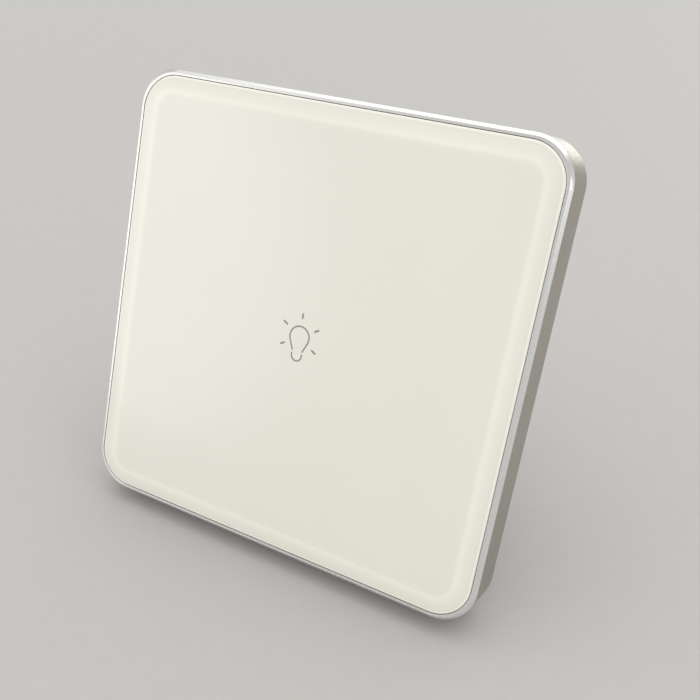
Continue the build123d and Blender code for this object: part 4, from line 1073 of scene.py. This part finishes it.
pad_inner = 2.9 * MM
pad_outer = 3.85 * MM
pad_ring = [(pad_inner, 0), (pad_outer, 0), (pad_outer, track_lift), (pad_inner, track_lift), (pad_inner, 0)]
bm = bmesh.new()
lathe(bm, pad_ring, (0, touch_front, 0), forward=-1)
bmesh.ops.remove_doubles(bm, verts=bm.verts, dist=WELD)
link_mesh("spring_pad", bm, FRONT, finishes["gold_spring"])

# Moulded, cast and bent pieces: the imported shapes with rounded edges

edge_radii = {
    "mounting_plate": 0.12 * MM,
    "inner_cover": 0.12 * MM,
    "terminal_block": 0.15 * MM,
    "carrier_plate": 0.10 * MM,
    "panel_clips": 0.05 * MM,
    "light_tube": 0.10 * MM,
    "radio_shield": 0.10 * MM,
    "header_socket": 0.08 * MM,
    "pin_header_base": 0.08 * MM,
    "relay_case": 0.12 * MM,
    "relay_base": 0.12 * MM,
    "relay_armature": 0.10 * MM,
    "transformer_bobbin": 0.10 * MM,
    "transformer_core": 0.20 * MM,
    "transformer_winding": 0.25 * MM,
    "film_capacitor": 0.20 * MM,
    "fuse": 0.20 * MM,
    "rectifier": 0.06 * MM,
    "varistor": 0.10 * MM,
}
for number in (1, 2, 3):
    edge_radii[f"terminal_screw_{number}"] = 0.12 * MM
    edge_radii[f"clamp_cage_{number}"] = 0.12 * MM
for node, width in edge_radii.items():
    keep_flats(rounded_copy(node, width))

# Rear housing, with the marks that its ejector pins and gate leave

housing = rounded_copy("rear_housing", width=0.20 * MM)
housing_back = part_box("rear_housing")[1].y
overrun = 0.5 * MM
mark_sides = (-18 * MM, 18 * MM)
mark_heights = (24 * MM, -12 * MM)
mark_radius = 2.0 * MM
mark_depth = 0.08 * MM
mark = [(0, -mark_depth), (mark_radius, -mark_depth), (mark_radius, overrun), (0, overrun)]
gate_depth = 0.3 * MM
gate_z = 6 * MM
gate = [
    (0, 0.0), (0.5 * MM, -0.05 * MM), (0.75 * MM, -gate_depth), (1.6 * MM, -gate_depth),
    (1.9 * MM, 0.0), (1.9 * MM, overrun), (0, overrun),
]
bm = bmesh.new()
for z in mark_heights:
    for x in mark_sides:
        lathe(bm, mark, (x, housing_back, z))
lathe(bm, gate, (0, housing_back, gate_z))
carve(housing, bm)
keep_flats(housing)


# Stage: pale floor through the frame's lower rear edge and the terminal block's lower
# corner, as the switch leans in the photograph

block_low, block_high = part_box("terminal_block")
block_corner = 0.4 * MM
rest_edge = Vector((0, 0, -face_half))
rest_corner = Vector((0, block_high.y - block_corner, block_low.z))
floor_along = (rest_corner - rest_edge).normalized()
floor_up = Vector((1, 0, 0)).cross(floor_along)
floor_radius = 0.9
fade_start = 0.22
fade_end = 0.80
floor_colour = (0.50, 0.493, 0.48)
backdrop_colour = (0.62, 0.612, 0.596)

bm = bmesh.new()
bmesh.ops.create_circle(bm, cap_ends=True, segments=96, radius=floor_radius)
turn = Matrix((Vector((1, 0, 0)), floor_along, floor_up)).transposed()
bmesh.ops.transform(bm, matrix=Matrix.Translation(rest_edge) @ turn.to_4x4(), verts=bm.verts)
floor_mesh = bpy.data.meshes.new("floor")
bm.to_mesh(floor_mesh)
bm.free()
floor = bpy.data.objects.new("floor", floor_mesh)
scene.collection.objects.link(floor)


def floor_paint():
    """Pale ground that fades out far from the object and doesn't show from below."""
    paint = Paint("floor_paint", floor_colour, roughness=0.7)
    paint.vary_colour(size=3 * MM, amount=0.01)
    paint.bump(size=0.8 * MM, height=0.02 * MM)
    paint.set("Specular IOR Level", 0.2)
    distance = paint.node("ShaderNodeVectorMath", operation="LENGTH")
    paint.join(paint.place(), distance.inputs[0])
    fade = paint.ranged(distance.outputs["Value"], 0.0, 1.0, fade_start, fade_end)
    side = paint.node("ShaderNodeNewGeometry")
    hidden = combine(paint.tree, "MAXIMUM", fade, side.outputs["Backfacing"])
    clear = paint.node("ShaderNodeBsdfTransparent")
    mix = paint.node("ShaderNodeMixShader")
    paint.join(hidden, mix.inputs["Fac"])
    paint.join(paint.shader.outputs["BSDF"], mix.inputs[1])
    paint.join(clear.outputs["BSDF"], mix.inputs[2])
    paint.join(mix.outputs["Shader"], paint.tree.nodes["Material Output"].inputs["Surface"])
    return paint.material


floor_mesh.materials.append(floor_paint())


# Light: an even pale surround, which camera, gloss and glass see in the backdrop's colour,
# and five soft lamps

surround = bpy.data.worlds.new("surround")
scene.world = surround
surround.use_nodes = True
tree = surround.node_tree
tree.nodes.clear()


def background(colour, strength):
    """Even light from all round."""
    made = tree.nodes.new("ShaderNodeBackground")
    made.inputs["Color"].default_value = (*colour, 1.0)
    made.inputs["Strength"].default_value = strength
    return made.outputs["Background"]


lighting = background((1.0, 0.995, 0.985), strength=0.95)
backdrop = background(backdrop_colour, strength=1.0)
path = tree.nodes.new("ShaderNodeLightPath").outputs
seen = combine(tree, "MAXIMUM", path["Is Camera Ray"], path["Is Glossy Ray"])
seen_or_refracted = combine(tree, "MAXIMUM", seen, path["Is Transmission Ray"])
mix = tree.nodes.new("ShaderNodeMixShader")
output = tree.nodes.new("ShaderNodeOutputWorld")
tree.links.new(seen_or_refracted, mix.inputs["Fac"])
tree.links.new(lighting, mix.inputs[1])
tree.links.new(backdrop, mix.inputs[2])
tree.links.new(mix.outputs["Shader"], output.inputs["Surface"])


def soft_lamp(name, place, width, height, power):
    """Oval area lamp that faces the object and dims towards its border.

    Where a ray leaves the lamp is read as a place on a square from 0 to 1."""
    place = Vector(place)
    middle = (0.5, 0.5, 0.0)
    dim_from = 0.25
    dark_from = 0.5
    data = bpy.data.lights.new(name, "AREA")
    data.shape = "ELLIPSE"
    data.size = width
    data.size_y = height
    data.energy = power
    data.use_nodes = True
    nodes_of_lamp = data.node_tree.nodes
    across = nodes_of_lamp.new("ShaderNodeNewGeometry")
    from_middle = nodes_of_lamp.new("ShaderNodeVectorMath")
    from_middle.operation = "DISTANCE"
    from_middle.inputs[1].default_value = middle
    dimming = nodes_of_lamp.new("ShaderNodeMapRange")
    dimming.interpolation_type = "SMOOTHSTEP"
    for socket, value in (("From Min", dim_from), ("From Max", dark_from), ("To Min", 1.0), ("To Max", 0.0)):
        dimming.inputs[socket].default_value = value
    join = data.node_tree.links.new
    join(across.outputs["Parametric"], from_middle.inputs[0])
    join(from_middle.outputs["Value"], dimming.inputs["Value"])
    join(dimming.outputs["Result"], nodes_of_lamp["Emission"].inputs["Strength"])
    lamp = bpy.data.objects.new(name, data)
    lamp.location = place
    lamp.visible_camera = False
    lamp.rotation_mode = "QUATERNION"
    lamp.rotation_quaternion = (-place).to_track_quat("-Z", "Y")
    scene.collection.objects.link(lamp)


soft_lamp("overhead", (0.0, -0.20, 1.05), width=2.2, height=1.3, power=5.8)
soft_lamp("right", (0.80, -0.38, 0.10), width=0.5, height=0.5, power=0.55)
soft_lamp("left", (-0.95, 0.40, -0.05), width=0.75, height=0.75, power=1.1)
soft_lamp("front_left", (-0.88, -0.84, -0.18), width=1.0, height=1.0, power=2.5)
soft_lamp("rear", (0.10, 1.20, 0.62), width=0.8, height=0.8, power=4.6)


# Camera: where the photograph was taken from

camera_place = Vector((76.22, -150.5, 39.39)) * MM
camera_right = Vector((0.8735, 0.4536, 0.1770)).normalized()
roughly_up = Vector((-0.2658, 0.1396, 0.9539))
camera_back = camera_right.cross(roughly_up).normalized()
camera_up = camera_back.cross(camera_right)
camera_data = bpy.data.cameras.new("camera")
camera_data.lens = 46.30
camera_data.sensor_width = 36.0
camera_data.clip_start = 1 * MM
camera_data.clip_end = 10.0
camera = bpy.data.objects.new("camera", camera_data)
turn = Matrix((camera_right, camera_up, camera_back)).transposed()
camera.matrix_world = Matrix.Translation(camera_place) @ turn.to_4x4()
scene.collection.objects.link(camera)
scene.camera = camera

scene.view_settings.view_transform = "Standard"

bpy.context.view_layer.update()
